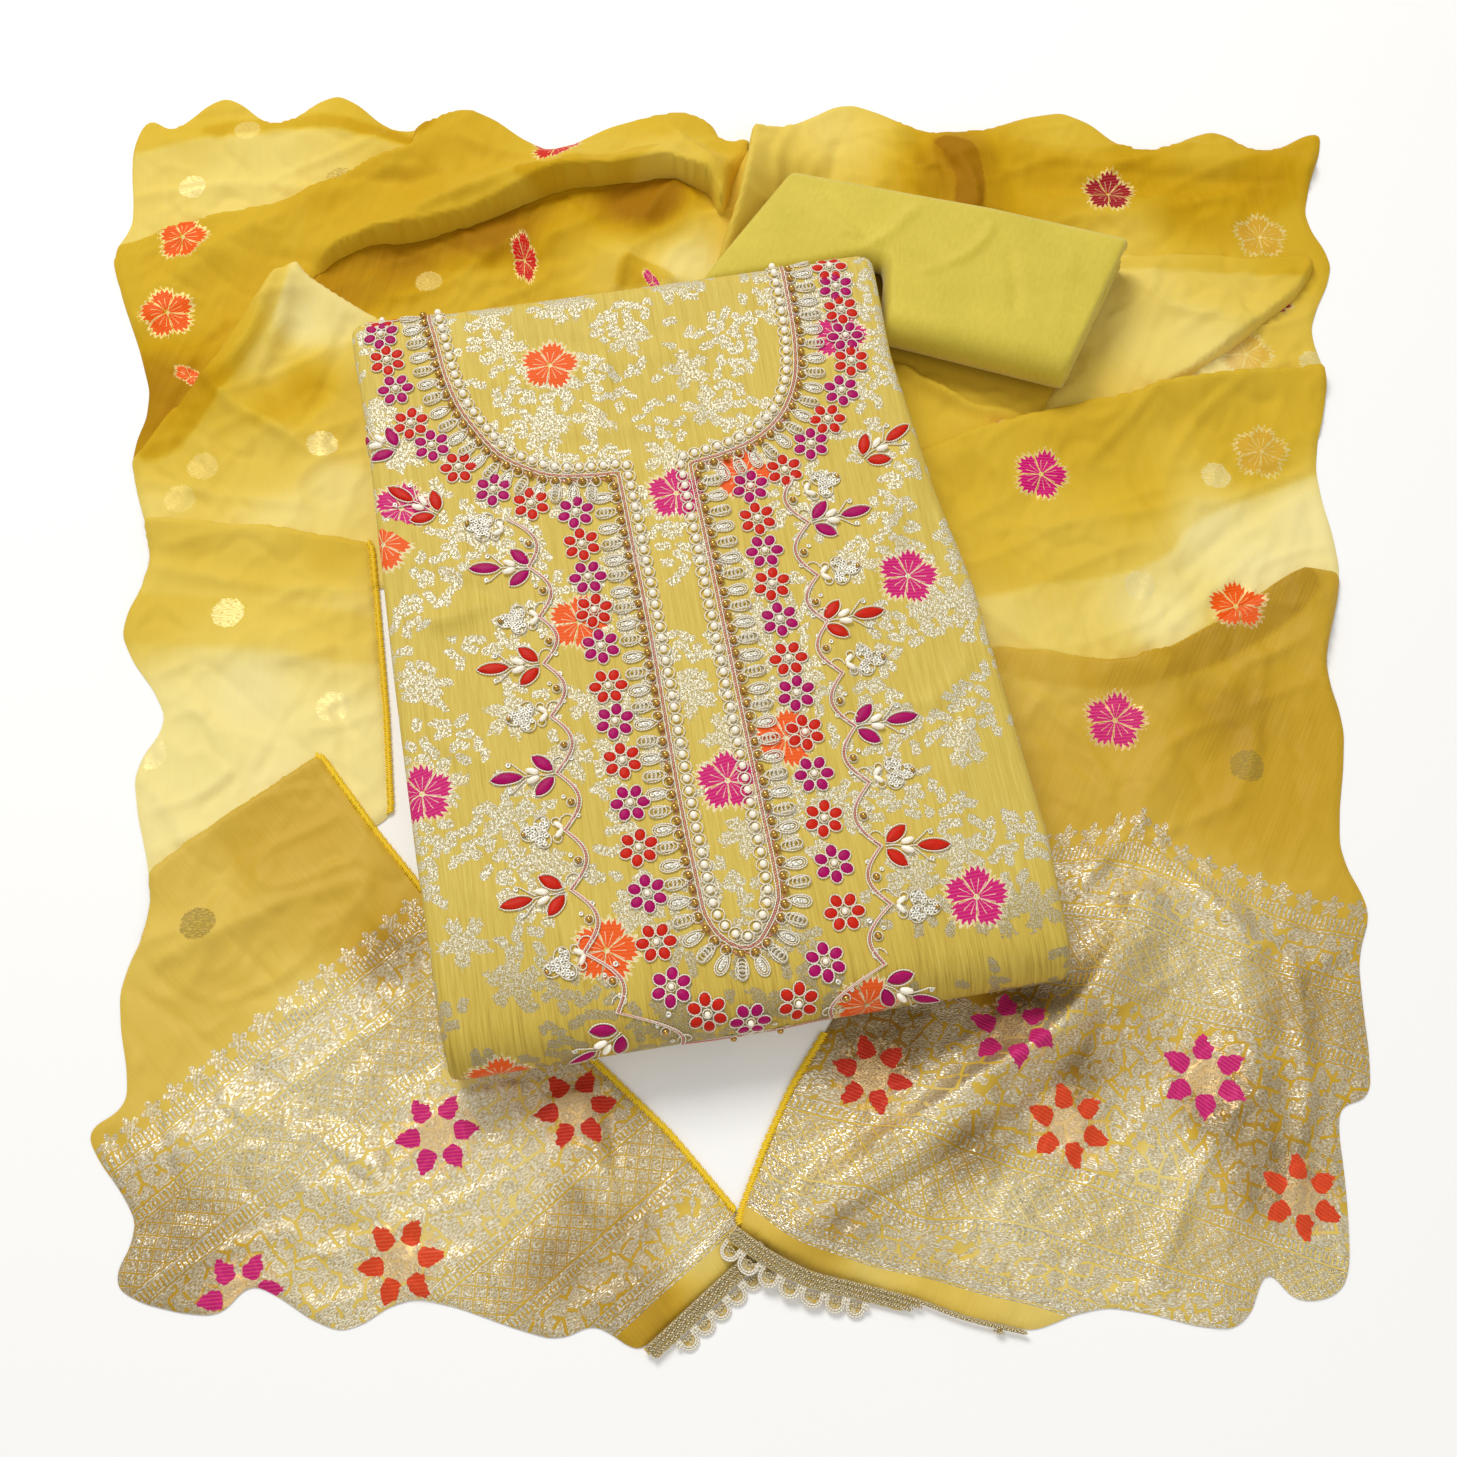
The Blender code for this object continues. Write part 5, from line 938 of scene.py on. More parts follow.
class FoldedPack:  # the shape of one folded garment
    def __init__(self, sizes, node):
        self.sizes = sizes
        self.base = toLayout([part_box(node)[0]])[0, 2]
        self.c, self.s = (f(math.radians(sizes["turn"])) for f in (math.cos, math.sin))
        self.start = sizes["back"] - sizes["backRadius"]
        self.backArc = sizes["backRadius"] * math.pi / 2

    def toPlan(self, u, v, z):
        x0, y0 = self.sizes["middle"]
        return toRow(np.stack([x0 + u * self.c - v * self.s,
                               y0 + u * self.s + v * self.c, z], axis=-1))

    def sides(self, v, inset):  # left and right edge at a place along
        return (read(self.sizes["left"], v) + inset, read(self.sizes["right"], v) - inset)

    def atShare(self, share):  # height and front edge at a share of the width
        left, right = (self.sizes[side][1][1] for side in ("left", "right"))
        return (read(self.sizes["heights"], share),
                read(self.sizes["front"], (1 - share) * left + share * right))

    def bend(self, row):  # how far the front fold has turned
        return np.radians(self.sizes["frontTurn"] * np.clip(row - 3, 0, None))

    def place(self, row, share, over=0.0, side=1.0, lift=0.0):
        # row: 0 to 1 the back skirt, to 2 the back edge, to 3 the top, to 4 the front fold
        size = self.sizes
        row, share, over, side, lift = np.broadcast_arrays(row, share, over, side, lift)
        height, front = self.atShare(share)
        top, radius, fold = self.base + height, size["backRadius"], height / 2
        turn, bend = np.radians(90 * np.clip(row - 1, 0, 1)), self.bend(row)
        nv = np.where(row < 2, np.cos(turn), -np.sin(bend))
        nz = np.where(row < 2, np.sin(turn), np.cos(bend))
        flat = np.clip(row - 2, 0, 1)
        v = np.where(row < 2, size["back"] - radius * (1 - nv),
                     self.start * (1 - flat) + (front + fold) * flat + fold * nv)
        z = np.where(row < 2, top - radius * (1 - nz)
                     - size["backSkirt"] * np.clip(1 - row, 0, None), top - fold * (1 - nz))
        reach = size["sideRadius"]
        left, right = self.sides(v, reach)
        angle = np.minimum(over / reach, math.pi / 2)
        drop = reach * (1 - np.cos(angle)) + np.maximum(over - reach * math.pi / 2, 0)
        u = left * (1 - share) + right * share + side * reach * np.sin(angle)
        raised = lift * np.cos(angle) - drop
        return self.toPlan(u + lift * side * np.sin(angle), v + raised * nv,
                           z + raised * nz)

    def unrolled(self, row, share):  # distance along the cloth, v on the flat top
        height, front = self.atShare(share)
        flat = np.clip(row - 2, 0, 1)
        s = self.start * (1 - flat) + (front + height / 2) * flat
        s = s - self.bend(row) * height / 2 + self.backArc * np.clip(2 - row, 0, 1)
        return s + self.sizes["backSkirt"] * np.clip(1 - row, 0, None)

    def on(self, u, s, lift=0.0):  # a place on the level-topped pack's cloth, lift above it
        size = self.sizes
        u, s, lift = np.broadcast_arrays(np.asarray(u, float), s, lift)
        fold, reach = size["heights"][0][1] / 2, size["sideRadius"]
        ahead, start = size["front"][0][1] + fold, self.start
        row = np.where(s > start, 2 - (s - start) / self.backArc,
                       2 + (start - s) / (start - ahead))
        row = np.where(s < ahead, 3 + (ahead - s) / fold / self.bend(4), row)
        row = np.where(row < 1, 1 - (1 - row) * self.backArc / size["backSkirt"], row)
        v = np.where(s < ahead, ahead - fold * np.sin(self.bend(row)),
                     np.minimum(s, size["back"]))
        left, right = self.sides(v, reach)
        share = (u - left) / (right - left)
        over = np.maximum(np.maximum(left - u, u - right), 0)
        rise = lift + self.relief(np.clip(u, left, right), s) * (over <= 0)
        return self.place(row, np.clip(share, 0, 1), over, np.where(u < left, -1.0, 1.0),
                          rise)

    def relief(self, u, s):  # creases and soft unevenness of the cloth
        where, size = np.column_stack([u.ravel(), s.ravel()]), self.sizes
        left, right = size["left"][0][1], size["right"][0][1]
        edge = np.minimum(np.abs(self.start - where[:, 1]) / 12, 1)
        wide = np.clip((0.5 * (right - left) - 8
                        - np.abs(where[:, 0] - (left + right) / 2)) / 12, 0, 1)
        added = size["creaseGain"] * foldHeight(where, size["creases"]) * edge * wide
        wave = np.sin(where[:, 0] / 9.1 + 1.3 * np.sin(where[:, 1] / 23.0)) \
            * np.sin(where[:, 1] / 17.3 + 1.1 * np.sin(where[:, 0] / 13.0))
        return (added + 0.16 * wave).reshape(u.shape)

    def outerCloth(self, name, finish, motifs):
        size = self.sizes
        reach, columns = size["sideRadius"], size["columns"]
        arc = reach * math.pi / 2
        beyond = np.array([arc + size["sideSkirt"], arc + size["sideSkirt"] / 2,
                           arc, arc * .75, arc * .5, arc * .25])
        shares = np.concatenate([np.zeros(6), np.linspace(0, 1, columns), np.ones(6)])
        over = np.concatenate([beyond, np.zeros(columns), beyond[::-1]])
        side = np.concatenate([-np.ones(6), np.ones(columns + 6)])
        rows = np.concatenate([
            [0, 0.5], np.linspace(1, 2, 8), 2 + np.arange(1, size["rows"]) / size["rows"],
            3 + np.arange(size["foldRows"] + 1) / size["foldRows"]])
        row, share = np.meshgrid(rows, shares, indexing="ij")
        s = self.unrolled(row, share)
        left, right = self.sides(s, reach)
        u = left * (1 - share) + right * share
        ease = np.clip(np.minimum(np.clip(row - 2, 0, 1) * 9, (3.2 - row) * 4), 0, 1) \
            * (over <= 0)
        points = self.place(row, share, over, side, self.relief(u, s) * ease).reshape(-1, 3)
        faces = latticeFaces(len(rows), len(shares))
        where = np.column_stack([(u + over * side).ravel(), s.ravel()])
        piece = makePiece(name, points, faces, finish, where * mm, motifMaps(where, motifs))
        return piece, surfaceArea(points, faces), np.ptp(where, axis=0)

    def hiddenLayers(self, name, finish):  # edges of the folded layers: hairpins and backs
        size, layers, base = self.sizes, self.sizes["layers"], 2.2
        points, faces, cloth = [], [], []
        source = np.random.default_rng(3 + layers)

        def strip(corners, outward, normals, thick, bulge, way):  # one folded edge, swept
            half = thick / 2
            arc = [(bulge * math.cos(t), half * math.sin(t))
                   for t in np.linspace(-math.pi / 2, math.pi / 2, 7)]
            section = [(-13, -half * 0.96), (-5, -half), *arc, (-5, half),
                       (-13, half * 0.96)]
            for corner, normal, gone in zip(corners, normals, travel(corners)):
                for m, (out, up) in enumerate(section):
                    points.append(corner + outward * out + normal * (up * way))
                    cloth.append((m * 0.002, gone * mm))
            first = len(points) - len(corners) * len(section)
            faces.extend(latticeFaces(len(corners), len(section), first))

        for side, edge, share in ((-1, "left", 0.0), (1, "right", 1.0)):
            full, front = self.atShare(share)
            height, front, back = full - base, front + full / 2, size["back"] - 3.5
            thick = height / layers
            ahead, turn = np.linspace(back, front, 60)[:-1], np.linspace(0, math.pi, 15)
            homeward = np.linspace(front, back, 60)[1:]
            for k in range(layers // 2):
                spread = height / 2 - thick * (k + 0.5)
                wobble = source.uniform(0, 6.28, 3)
                v = np.concatenate([ahead, front - spread * np.sin(turn), homeward])
                z = np.concatenate([0 * ahead + height / 2 - spread,
                                    height / 2 - spread * np.cos(turn),
                                    0 * homeward + height / 2 + spread])
                nv = np.concatenate([0 * ahead, -np.sin(turn), 0 * homeward])
                nz = np.concatenate([0 * ahead - 1, -np.cos(turn), 0 * homeward + 1])
                over = np.maximum(0, z - (height - size["sideRadius"] - size["sideSkirt"]))
                hem = np.where(over > 0, 3.2 + 0.5 * over, 1.8) \
                    + 0.7 * np.sin(v / 21 + wobble[0]) + 0.4 * np.sin(v / 8 + wobble[1])
                z = z + 0.35 * np.sin(v / 33 + wobble[2])
                u = read(size[edge], v) - side * hem
                strip(np.column_stack([u, v, z]), np.array([side, 0.0, 0.0]),
                      np.column_stack([0 * v, nv, nz]), thick, 1.9, side)
        share = np.linspace(0.012, 0.988, 60)
        height = self.atShare(share)[0] - base
        for k in range(layers):
            thick = height / layers
            wobble = source.uniform(0, 6.28, 2)
            z = thick * (k + 0.5)
            over = z - (height - size["backRadius"])
            under = over > -size["backSkirt"]
            back = size["back"] - np.where(under, 4.0 + 0.35 * np.maximum(0, over), 1.9) \
                + 0.7 * np.sin(share * 14 + wobble[0]) + 0.3 * np.sin(share * 41 + wobble[1])
            left, right = self.sides(size["back"], 0)
            strip(np.column_stack([left * (1 - share) + right * share, back, z]),
                  np.array([0.0, 1.0, 0.0]), [np.array([0.0, 0.0, 1.0])] * 60,
                  float(thick.mean()), 1.7, -1)
        faces += latticeFaces(24, 14, len(points))  # the lowest layer, under them all
        far, part = np.meshgrid(np.linspace(0, 1, 24), np.linspace(0, 1, 14), indexing="ij")
        v = (self.atShare(part)[1] + 16) * (1 - far) + (size["back"] - 8) * far
        left, right = self.sides(v, 8)
        u = left * (1 - part) + right * part
        low = np.stack([u, v, 0.5 + 0.2 * np.sin(u / 19 + v / 27)], axis=-1).reshape(-1, 3)
        cloth = np.array(cloth + [(a * mm, b * mm) for a, b, _ in low])
        local = np.concatenate([points, low])
        local[:, 2] = np.maximum(local[:, 2], 0.05)
        points = self.toPlan(local[:, 0], local[:, 1], self.base + local[:, 2])
        return makePiece(name, points, faces, finish, cloth), surfaceArea(points, faces)


def leafCells(g, where, scale, random):  # scattered cells, the way from each one's middle
    cell = g.cells(where, scale, random, "Position", voronoi_dimensions="2D")
    x, y, _ = g.split(g.make("ShaderNodeVectorMath", {"operation": "SUBTRACT"},
                             {0: where, 1: cell}))
    pick, other, _ = g.split(cell.of("Color"))
    reach, angle = g.polar(x, y)
    return cell, reach, angle + pick * 6.28, other


def brocadeFinish(g):  # slubby yellow silk with a lurex leaf lattice and woven carnations
    where, strands, slubs = weave(g, 1500.0, 22.0)
    dark = g.grain((1000, 60, 1), 2.0, 0.6, where)
    _, down, _ = g.split(where)
    # painted shade on the front fold: the ground and the lurex are darker where the cloth turns
    # under
    folded = g.smooth(down, -0.14, -0.205)
    _, reach, angle, other = leafCells(g, where, 36.0, 0.85)
    ragged = g.grain((330, 330, 1), 3.0, 0.65, where)
    lobe = g.math("ABSOLUTE", g.math("COSINE", angle * 2.5))
    tooth = g.wave(angle * 3.2)
    leaf = (reach * 72 < 0.38 + 0.66 * lobe - 0.24 * tooth + (ragged - 0.5) * 1.1) \
        * (other > 0.7)
    small, reach, slant, other = leafCells(g, where, 135.0, 0.9)
    frond = reach * 135 < 0.50 + 0.16 * g.math("COSINE", slant * 2) \
        - 0.12 * g.wave(slant * 4) + (ragged - 0.5) * 0.5
    cluster = g.grain((27, 24, 1), 1.0, 0.5, small)
    figure = g.most(leaf * 0.9, frond * (cluster + (other - 0.5) * 0.10 > 0.5))
    scribble = g.grain((900, 520, 1), 3.0, 0.75, where)
    shapes = motifShapes(g)
    lurex = figure * g.smooth(scribble, 0.36, 0.52) * (1 - shapes["silk"])
    ground = g.ramp(strands * 0.32 + dark * 0.26 + 0.21 + (slubs - 0.5) * 0.2
                    - folded * 0.1, (0.28, 168, 136, 44), (0.42, 204, 176, 72),
                    (0.56, 219, 194, 92), (0.75, 232, 212, 122))
    glint = g.smooth(g.grain((1500, 1300, 1), 1.0, 0.5, where), 0.35, 0.62)
    thread = g.mix(glint, rgb(180, 164, 116), rgb(255, 254, 240))
    thread = g.mix(folded * 0.7, thread, rgb(140, 118, 64))
    cloth = g.mix(lurex * 0.92, ground, thread)
    silk = g.mix((1 - shapes["floats"]) * 0.14, shapes["colour"], rgb(255, 180, 130))
    cloth = g.mix(shapes["silk"], cloth, silk)
    cloth = g.mix(shapes["thread"] * 0.8, cloth, rgb(245, 230, 190))
    relief = strands * 0.5 + dark * 0.5 + lurex * 0.7 + scribble * lurex + shapes["silk"]
    return {"Base Color": cloth, "Metallic": lurex * 0.3,
            "Roughness": 0.58 - lurex * 0.2 + (strands - 0.5) * 0.15,
            "Normal": g.bump(relief, 0.55, 0.0006)}


def layerFinish(g):  # folded edges of the same silk, mostly its plain ground
    _, strands, slubs = weave(g, 900.0, 60.0)
    glint = g.grain(260, 3.0, 0.7)
    lurex = g.smooth(glint, 0.5, 0.62) * g.smooth(g.grain((45, 45, 80), 2.0), 0.46, 0.6)
    ground = g.ramp(strands * 0.5 + slubs * 0.5, (0.25, 150, 122, 30), (0.5, 206, 178, 60),
                    (0.8, 228, 204, 96))
    return {"Base Color": g.mix(lurex, ground, rgb(238, 228, 180)),
            "Metallic": lurex * 0.5, "Roughness": 0.5,
            "Normal": g.bump(strands + glint * 0.6, 0.4, 0.0004)}


def salwarFinish(g):
    _, strands, slubs = weave(g, 1700.0, 500.0)
    tone = g.ramp(g.grain(26, 3.0) * 0.6 + slubs * 0.4, (0.3, 202, 182, 46),
                  (0.7, 221, 200, 70))
    return {"Base Color": g.mix((strands - 0.35) * 0.35, tone, rgb(176, 154, 26)),
            "Roughness": 0.7, "Normal": g.bump(strands + slubs * 0.6, 0.25, 0.0003)}


brocade = material("kameezBrocade", brocadeFinish, {"Sheen Weight": 0.03,
                                                    "Specular IOR Level": 0.25})
foldedSilk = material("kameezFoldedSilk", layerFinish)
salwarCotton = material("salwarCotton", salwarFinish, {"Sheen Weight": 0.25})
carnations = {kind: [(u, v, 17, turn, 1) for u, v, turn in spots] for kind, spots in (
    ("magenta", [(-140, -70, 20), (125, 10, 0), (122, -168, 8), (12, -88, 15), (12, 80, 10),
                 (-135, 95, 0), (118, 165, 0)]),
    ("orange", [(-45, 172, 5), (-50, 12, 0), (50, 85, 0), (45, -70, 0), (-60, -165, 0),
                (-147, 75, 0), (60, -214, 0), (-120, -224, 10)]))}

kameezShape = FoldedPack(kameezPack, "kameez_layers")
salwarShape = FoldedPack(salwarPack, "salwar_layers")
kameezFront, kameezArea, kameezFlat = kameezShape.outerCloth("kameez_front_cloth", brocade,
                                                             carnations)
kameezInner, kameezInnerArea = kameezShape.hiddenLayers("kameez_folded_layers", foldedSilk)
salwarFront, salwarArea, salwarFlat = salwarShape.outerCloth("salwar_outer_cloth",
                                                             salwarCotton, {})
salwarInner, salwarInnerArea = salwarShape.hiddenLayers("salwar_folded_layers",
                                                        salwarCotton)
dress(kameezFront, "kameez_front")
dress(kameezInner, "kameez_layers")
dress(salwarFront, "salwar_outer")
dress(salwarInner, "salwar_layers")
print("garments folded: areas", kameezArea, kameezFlat, kameezInnerArea, salwarArea,
      salwarFlat, salwarInnerArea)


def nodeTree(name, sockets):  # an empty Geometry Nodes tree with its named inputs
    tree = bpy.data.node_groups.new(name, "GeometryNodeTree")
    tree.interface.new_socket("Geometry", in_out="OUTPUT", socket_type="NodeSocketGeometry")
    for label, kind in sockets.items():
        tree.interface.new_socket(label, in_out="INPUT", socket_type="NodeSocket" + kind)
    graph = Graph(tree)
    return tree, graph, graph.make("NodeGroupInput")


def closeTree(tree, graph, grown, finish):
    real = graph.make("GeometryNodeRealizeInstances", {}, {0: grown})
    dressed = graph.make("GeometryNodeSetMaterial", {}, {0: real, "Material": finish})
    graph.feed(tree.nodes.new("NodeGroupOutput").inputs[0], dressed)
    return tree


def threadTree():  # round thread swept along every run of edges
    tree, g, group = nodeTree("sweptThread", {"Runs": "Geometry", "Thickness": "Float",
                                              "Sides": "Int", "Finish": "Material"})

    def store(shape, label, output):
        return g.make("GeometryNodeStoreNamedAttribute", {"data_type": "FLOAT"},
                      {"Geometry": shape, "Name": label,
                       "Value": g.make("GeometryNodeSplineParameter", {}, {}, output)})

    curve = g.make("GeometryNodeMeshToCurve", {}, {0: group.of("Runs")})
    ring = g.make("GeometryNodeCurvePrimitiveCircle", {},
                  {"Resolution": group.of("Sides"), "Radius": group.of("Thickness") * 0.5})
    tube = g.make("GeometryNodeCurveToMesh", {}, {
        "Curve": store(curve, "along", "Length"),
        "Profile Curve": store(ring, "around", "Factor"), "Fill Caps": True})
    tube = g.make("GeometryNodeSetShadeSmooth", {}, {0: tube})
    return closeTree(tree, g, tube, group.of("Finish"))


def scatterTree():  # one small shape set on every point, turned and sized by it
    tree, g, group = nodeTree("setShapes", {"Spots": "Geometry", "Shape": "Object",
                                            "Finish": "Material"})
    shape = g.make("GeometryNodeObjectInfo", {}, {"Object": group.of("Shape")}, "Geometry")
    turn, size = (g.make("GeometryNodeInputNamedAttribute", {"data_type": kind},
                         {"Name": label}, "Attribute")
                  for label, kind in (("turn", "FLOAT"), ("size", "FLOAT_VECTOR")))
    placed = g.make("GeometryNodeInstanceOnPoints", {},
                    {"Points": group.of("Spots"), "Instance": shape,
                     "Rotation": g.join(0.0, 0.0, turn), "Scale": size})
    return closeTree(tree, g, placed, group.of("Finish"))


def grow(tree, points, edges=(), layers=None, **inputs):
    seed = makePiece("seed", points, [], inputs["Finish"], None, layers, edges)
    modifier = seed.modifiers.new("grow", "NODES")
    modifier.node_group = tree
    for item in tree.interface.items_tree:
        if item.in_out == "INPUT" and item.name in inputs:
            modifier[item.identifier] = inputs[item.name]
    seed.update_tag()
    ready = seed.evaluated_get(bpy.context.evaluated_depsgraph_get())
    mesh = bpy.data.meshes.new_from_object(ready)
    bpy.data.objects.remove(seed)
    return mesh


def wrap(mesh, name, onto):  # the flat work laid onto the cloth
    flat = np.zeros(len(mesh.vertices) * 3, np.float32)
    mesh.vertices.foreach_get("co", flat)
    placed = onto(flat.reshape(-1, 3).astype(float))
    mesh.vertices.foreach_set("co", placed.astype(np.float32).ravel())
    mesh.update()
    mesh.shade_smooth()
    return inScene(name, mesh)


def smallShape(name, points, faces):  # a template, kept out of the finished scene
    mesh = bpy.data.meshes.new(name)
    mesh.from_pydata(points, [], faces)
    mesh.shade_smooth()
    return bpy.data.objects.new(name, mesh)


def ringOf(sides, radius, height):
    return [(radius * math.cos(a), radius * math.sin(a), height)
            for a in (2 * math.pi * m / sides for m in range(sides))]


def ringFaces(sides, a, b, outward=True):  # between two rings, from their first points
    steps = [(m, (m + 1) % sides) for m in range(sides)]
    return [(a + m, a + n, b + n, b + m) if outward else (a + m, b + m, b + n, a + n)
            for m, n in steps]


def fan(sides, tip, first, outward=True):  # from a ring to one point
    steps = [(m, (m + 1) % sides) for m in range(sides)]
    return [(first + m, first + n, tip) if outward else (tip, first + n, first + m)
            for m, n in steps]


def beadShape(rings=5, sides=8):  # a round bead one millimetre across
    points = [(0, 0, 0.5)]
    for k in range(1, rings):
        t = math.pi * k / rings
        points += ringOf(sides, 0.5 * math.sin(t), 0.5 * math.cos(t))
    points.append((0, 0, -0.5))
    faces = [(0, 1 + m, 1 + (m + 1) % sides) for m in range(sides)]
    for k in range(rings - 2):
        faces += ringFaces(sides, 1 + k * sides, 1 + (k + 1) * sides, False)
    faces += fan(sides, len(points) - 1, 1 + (rings - 2) * sides, False)
    return smallShape("bead", points, faces)


def sequinShape(sides=10):  # a thin cupped disc with a hole
    rims = [(0.5, 0.10), (0.5, 0.16), (0.28, 0.06), (0.13, 0.0), (0.13, -0.05)]
    points = [spot for rim in rims for spot in ringOf(sides, *rim)]
    faces = [face for k in range(5)
             for face in ringFaces(sides, k * sides, (k + 1) % 5 * sides)]
    return smallShape("sequin", points, faces)


def padShape(sides=14, tip=0.0):  # raised satin, one long and one wide, point at +x
    outline = ringOf(sides, 0.5, 0)
    if tip:
        outline = [(x, y * (1 - abs(2 * x) ** 2.2) ** tip if abs(x) < 0.5 else 0.0, 0)
                   for x, y, _ in outline]
    points = [(x * share, y * share, height)
              for share, height in ((1.0, -0.12), (1.0, 0.25), (0.86, 0.66), (0.5, 0.95))
              for x, y, _ in outline] + [(0, 0, 1.0), (0, 0, -0.12)]
    faces = [face for r in range(3)
             for face in ringFaces(sides, r * sides, (r + 1) * sides)]
    faces += fan(sides, 4 * sides, 3 * sides)
    faces += [((k + 1) % sides, k, 4 * sides + 1) for k in range(sides)]
    return smallShape("satinPad", points, faces)


threads, scatters = threadTree(), scatterTree()

stitchery = {"thread": 0.78, "pearl": 4.0, "pearlPitch": 6.6, "pearlLoop": 3.2,
             "bead": 4.1, "beadPitch": 7.2, "beadOffset": 8.4, "beadLoop": 2.9,
             "dropPitch": 9.6, "dropOffset": 15.4, "dropLength": 12.6, "dropWidth": 7.6,
             "lines": [("zari", 4.1, 0.75), ("pink", 5.1, 0.95), ("zari", 6.1, 0.8)],
             "petals": 6, "petalReach": 6.7, "petalLength": 6.6, "petalWidth": 5.5,
             "satinHeight": 1.2, "step": 2.0, "swing": 1.045}
pearlRun = [(-103, 221), (-103, 215), (-101, 200), (-98, 175), (-93, 155), (-85, 138),
    (-75, 122), (-62, 112), (-50, 106), (-30, 103), (-14, 102), (-12, 97), (-10.5, 50), (-9, 0),
    (-8.5, -50), (-8, -100), (-6, -145), (-5, -155), (0, -165), (8, -170), (15, -163),
    (20, -155), (22, -145), (21, -100), (20, -50), (19, 0), (18, 50), (17, 97), (19, 101),
    (30, 103), (45, 106), (60, 112), (72, 122), (80, 135), (85, 150), (88, 175), (89, 215),
    (89, 221)]
flowerColumn = (77, 57, 37, 17, -4, -27, -47, -69, -92, -116, -140, -165)
flowers = [(foot + lean * (77 - v), v, k % 2) for foot, lean in ((-43, 0.03), (52, 0.02))
           for k, v in enumerate(flowerColumn)]
for first, spots in ((0, [(-32, -188), (-17, -203), (3, -211), (27, -205), (43, -188)]),
                     (1, [(-135, 222), (-136, 208), (-134, 190), (-131, 170), (-125, 147),
                          (-115, 131), (-102, 115), (-85, 98), (-66, 86)]),
                     (1, [(121, 212), (122, 198), (122, 182), (121, 164), (121, 147),
                          (112, 129), (101, 112), (89, 98), (72, 84)])):
    flowers += [(u, v, (k + first) % 2) for k, (u, v) in enumerate(spots)]
vineFeet = {-1: [(-78, 78), (-71, 48), (-69, 18), (-70, -9), (-70, -39), (-71, -70),
                 (-71, -101), (-72, -132), (-70, -165), (-58, -196), (-30, -221), (5, -229)],
            1: [(76, 80), (78, 50), (77, 18), (77, -10), (79, -40), (80, -70), (81, -101),
                (80, -135), (79, -165), (70, -194), (42, -219), (5, -229)]}
# Coloured sprigs: foot, direction of the tip in degrees, red or magenta.
sprigs = [(-80, 48, 172, 0), (-82, -9, 176, 1), (-82, -70, 178, 0), (-85, -132, 186, 1),
    (-68, -205, 214, 0), (-125, 88, 140, 1), (-143, 132, 150, 0), (125, 85, 30, 1),
    (90, 50, 6, 0), (85, -10, 4, 1), (90, -70, 2, 0), (92, -135, -8, 1), (78, -203, -34, 0)]
silverSprigs = [(-90, 72, 160), (-78, 18, 178), (-80, -37, 180), (-80, -100, 180),
    (-78, -165, 196), (88, 68, 20), (87, 18, 4), (90, -35, 2), (92, -98, 0), (90, -165, -14)]

def stepsOn(run, pitch, start=0.0):  # places and directions at an even pitch
    travelled = travel(run)
    at, run = np.arange(start, travelled[-1], pitch), run[:, :2]
    way = readRun(np.minimum(at + 1, travelled[-1]), travelled, run) \
        - readRun(at - 1, travelled, run)
    return (readRun(at, travelled, run),
            way / np.maximum(np.linalg.norm(way, axis=1)[:, None], 1e-9))


def offsetRun(run, away):  # a parallel run, on the right of the way along it
    step = stitchery["step"]
    place, way = stepsOn(run, step)
    moved = place + away * np.column_stack([way[:, 1], -way[:, 0]])
    return evenly(moved[edgeDistance(moved, run, False) > abs(away) - 0.35], step)


def placed(x, y, angle, rows):  # small tables turned by the angle and set at x, y
    rows = np.asarray(rows, float)
    return np.column_stack(turned(rows[:, 0], rows[:, 1], -angle)) + (x, y)


def onward(x, y, angle, far, aside=0.0):  # a place reached from another
    dx, dy = turned(far, aside, -angle)
    return x + dx, y + dy


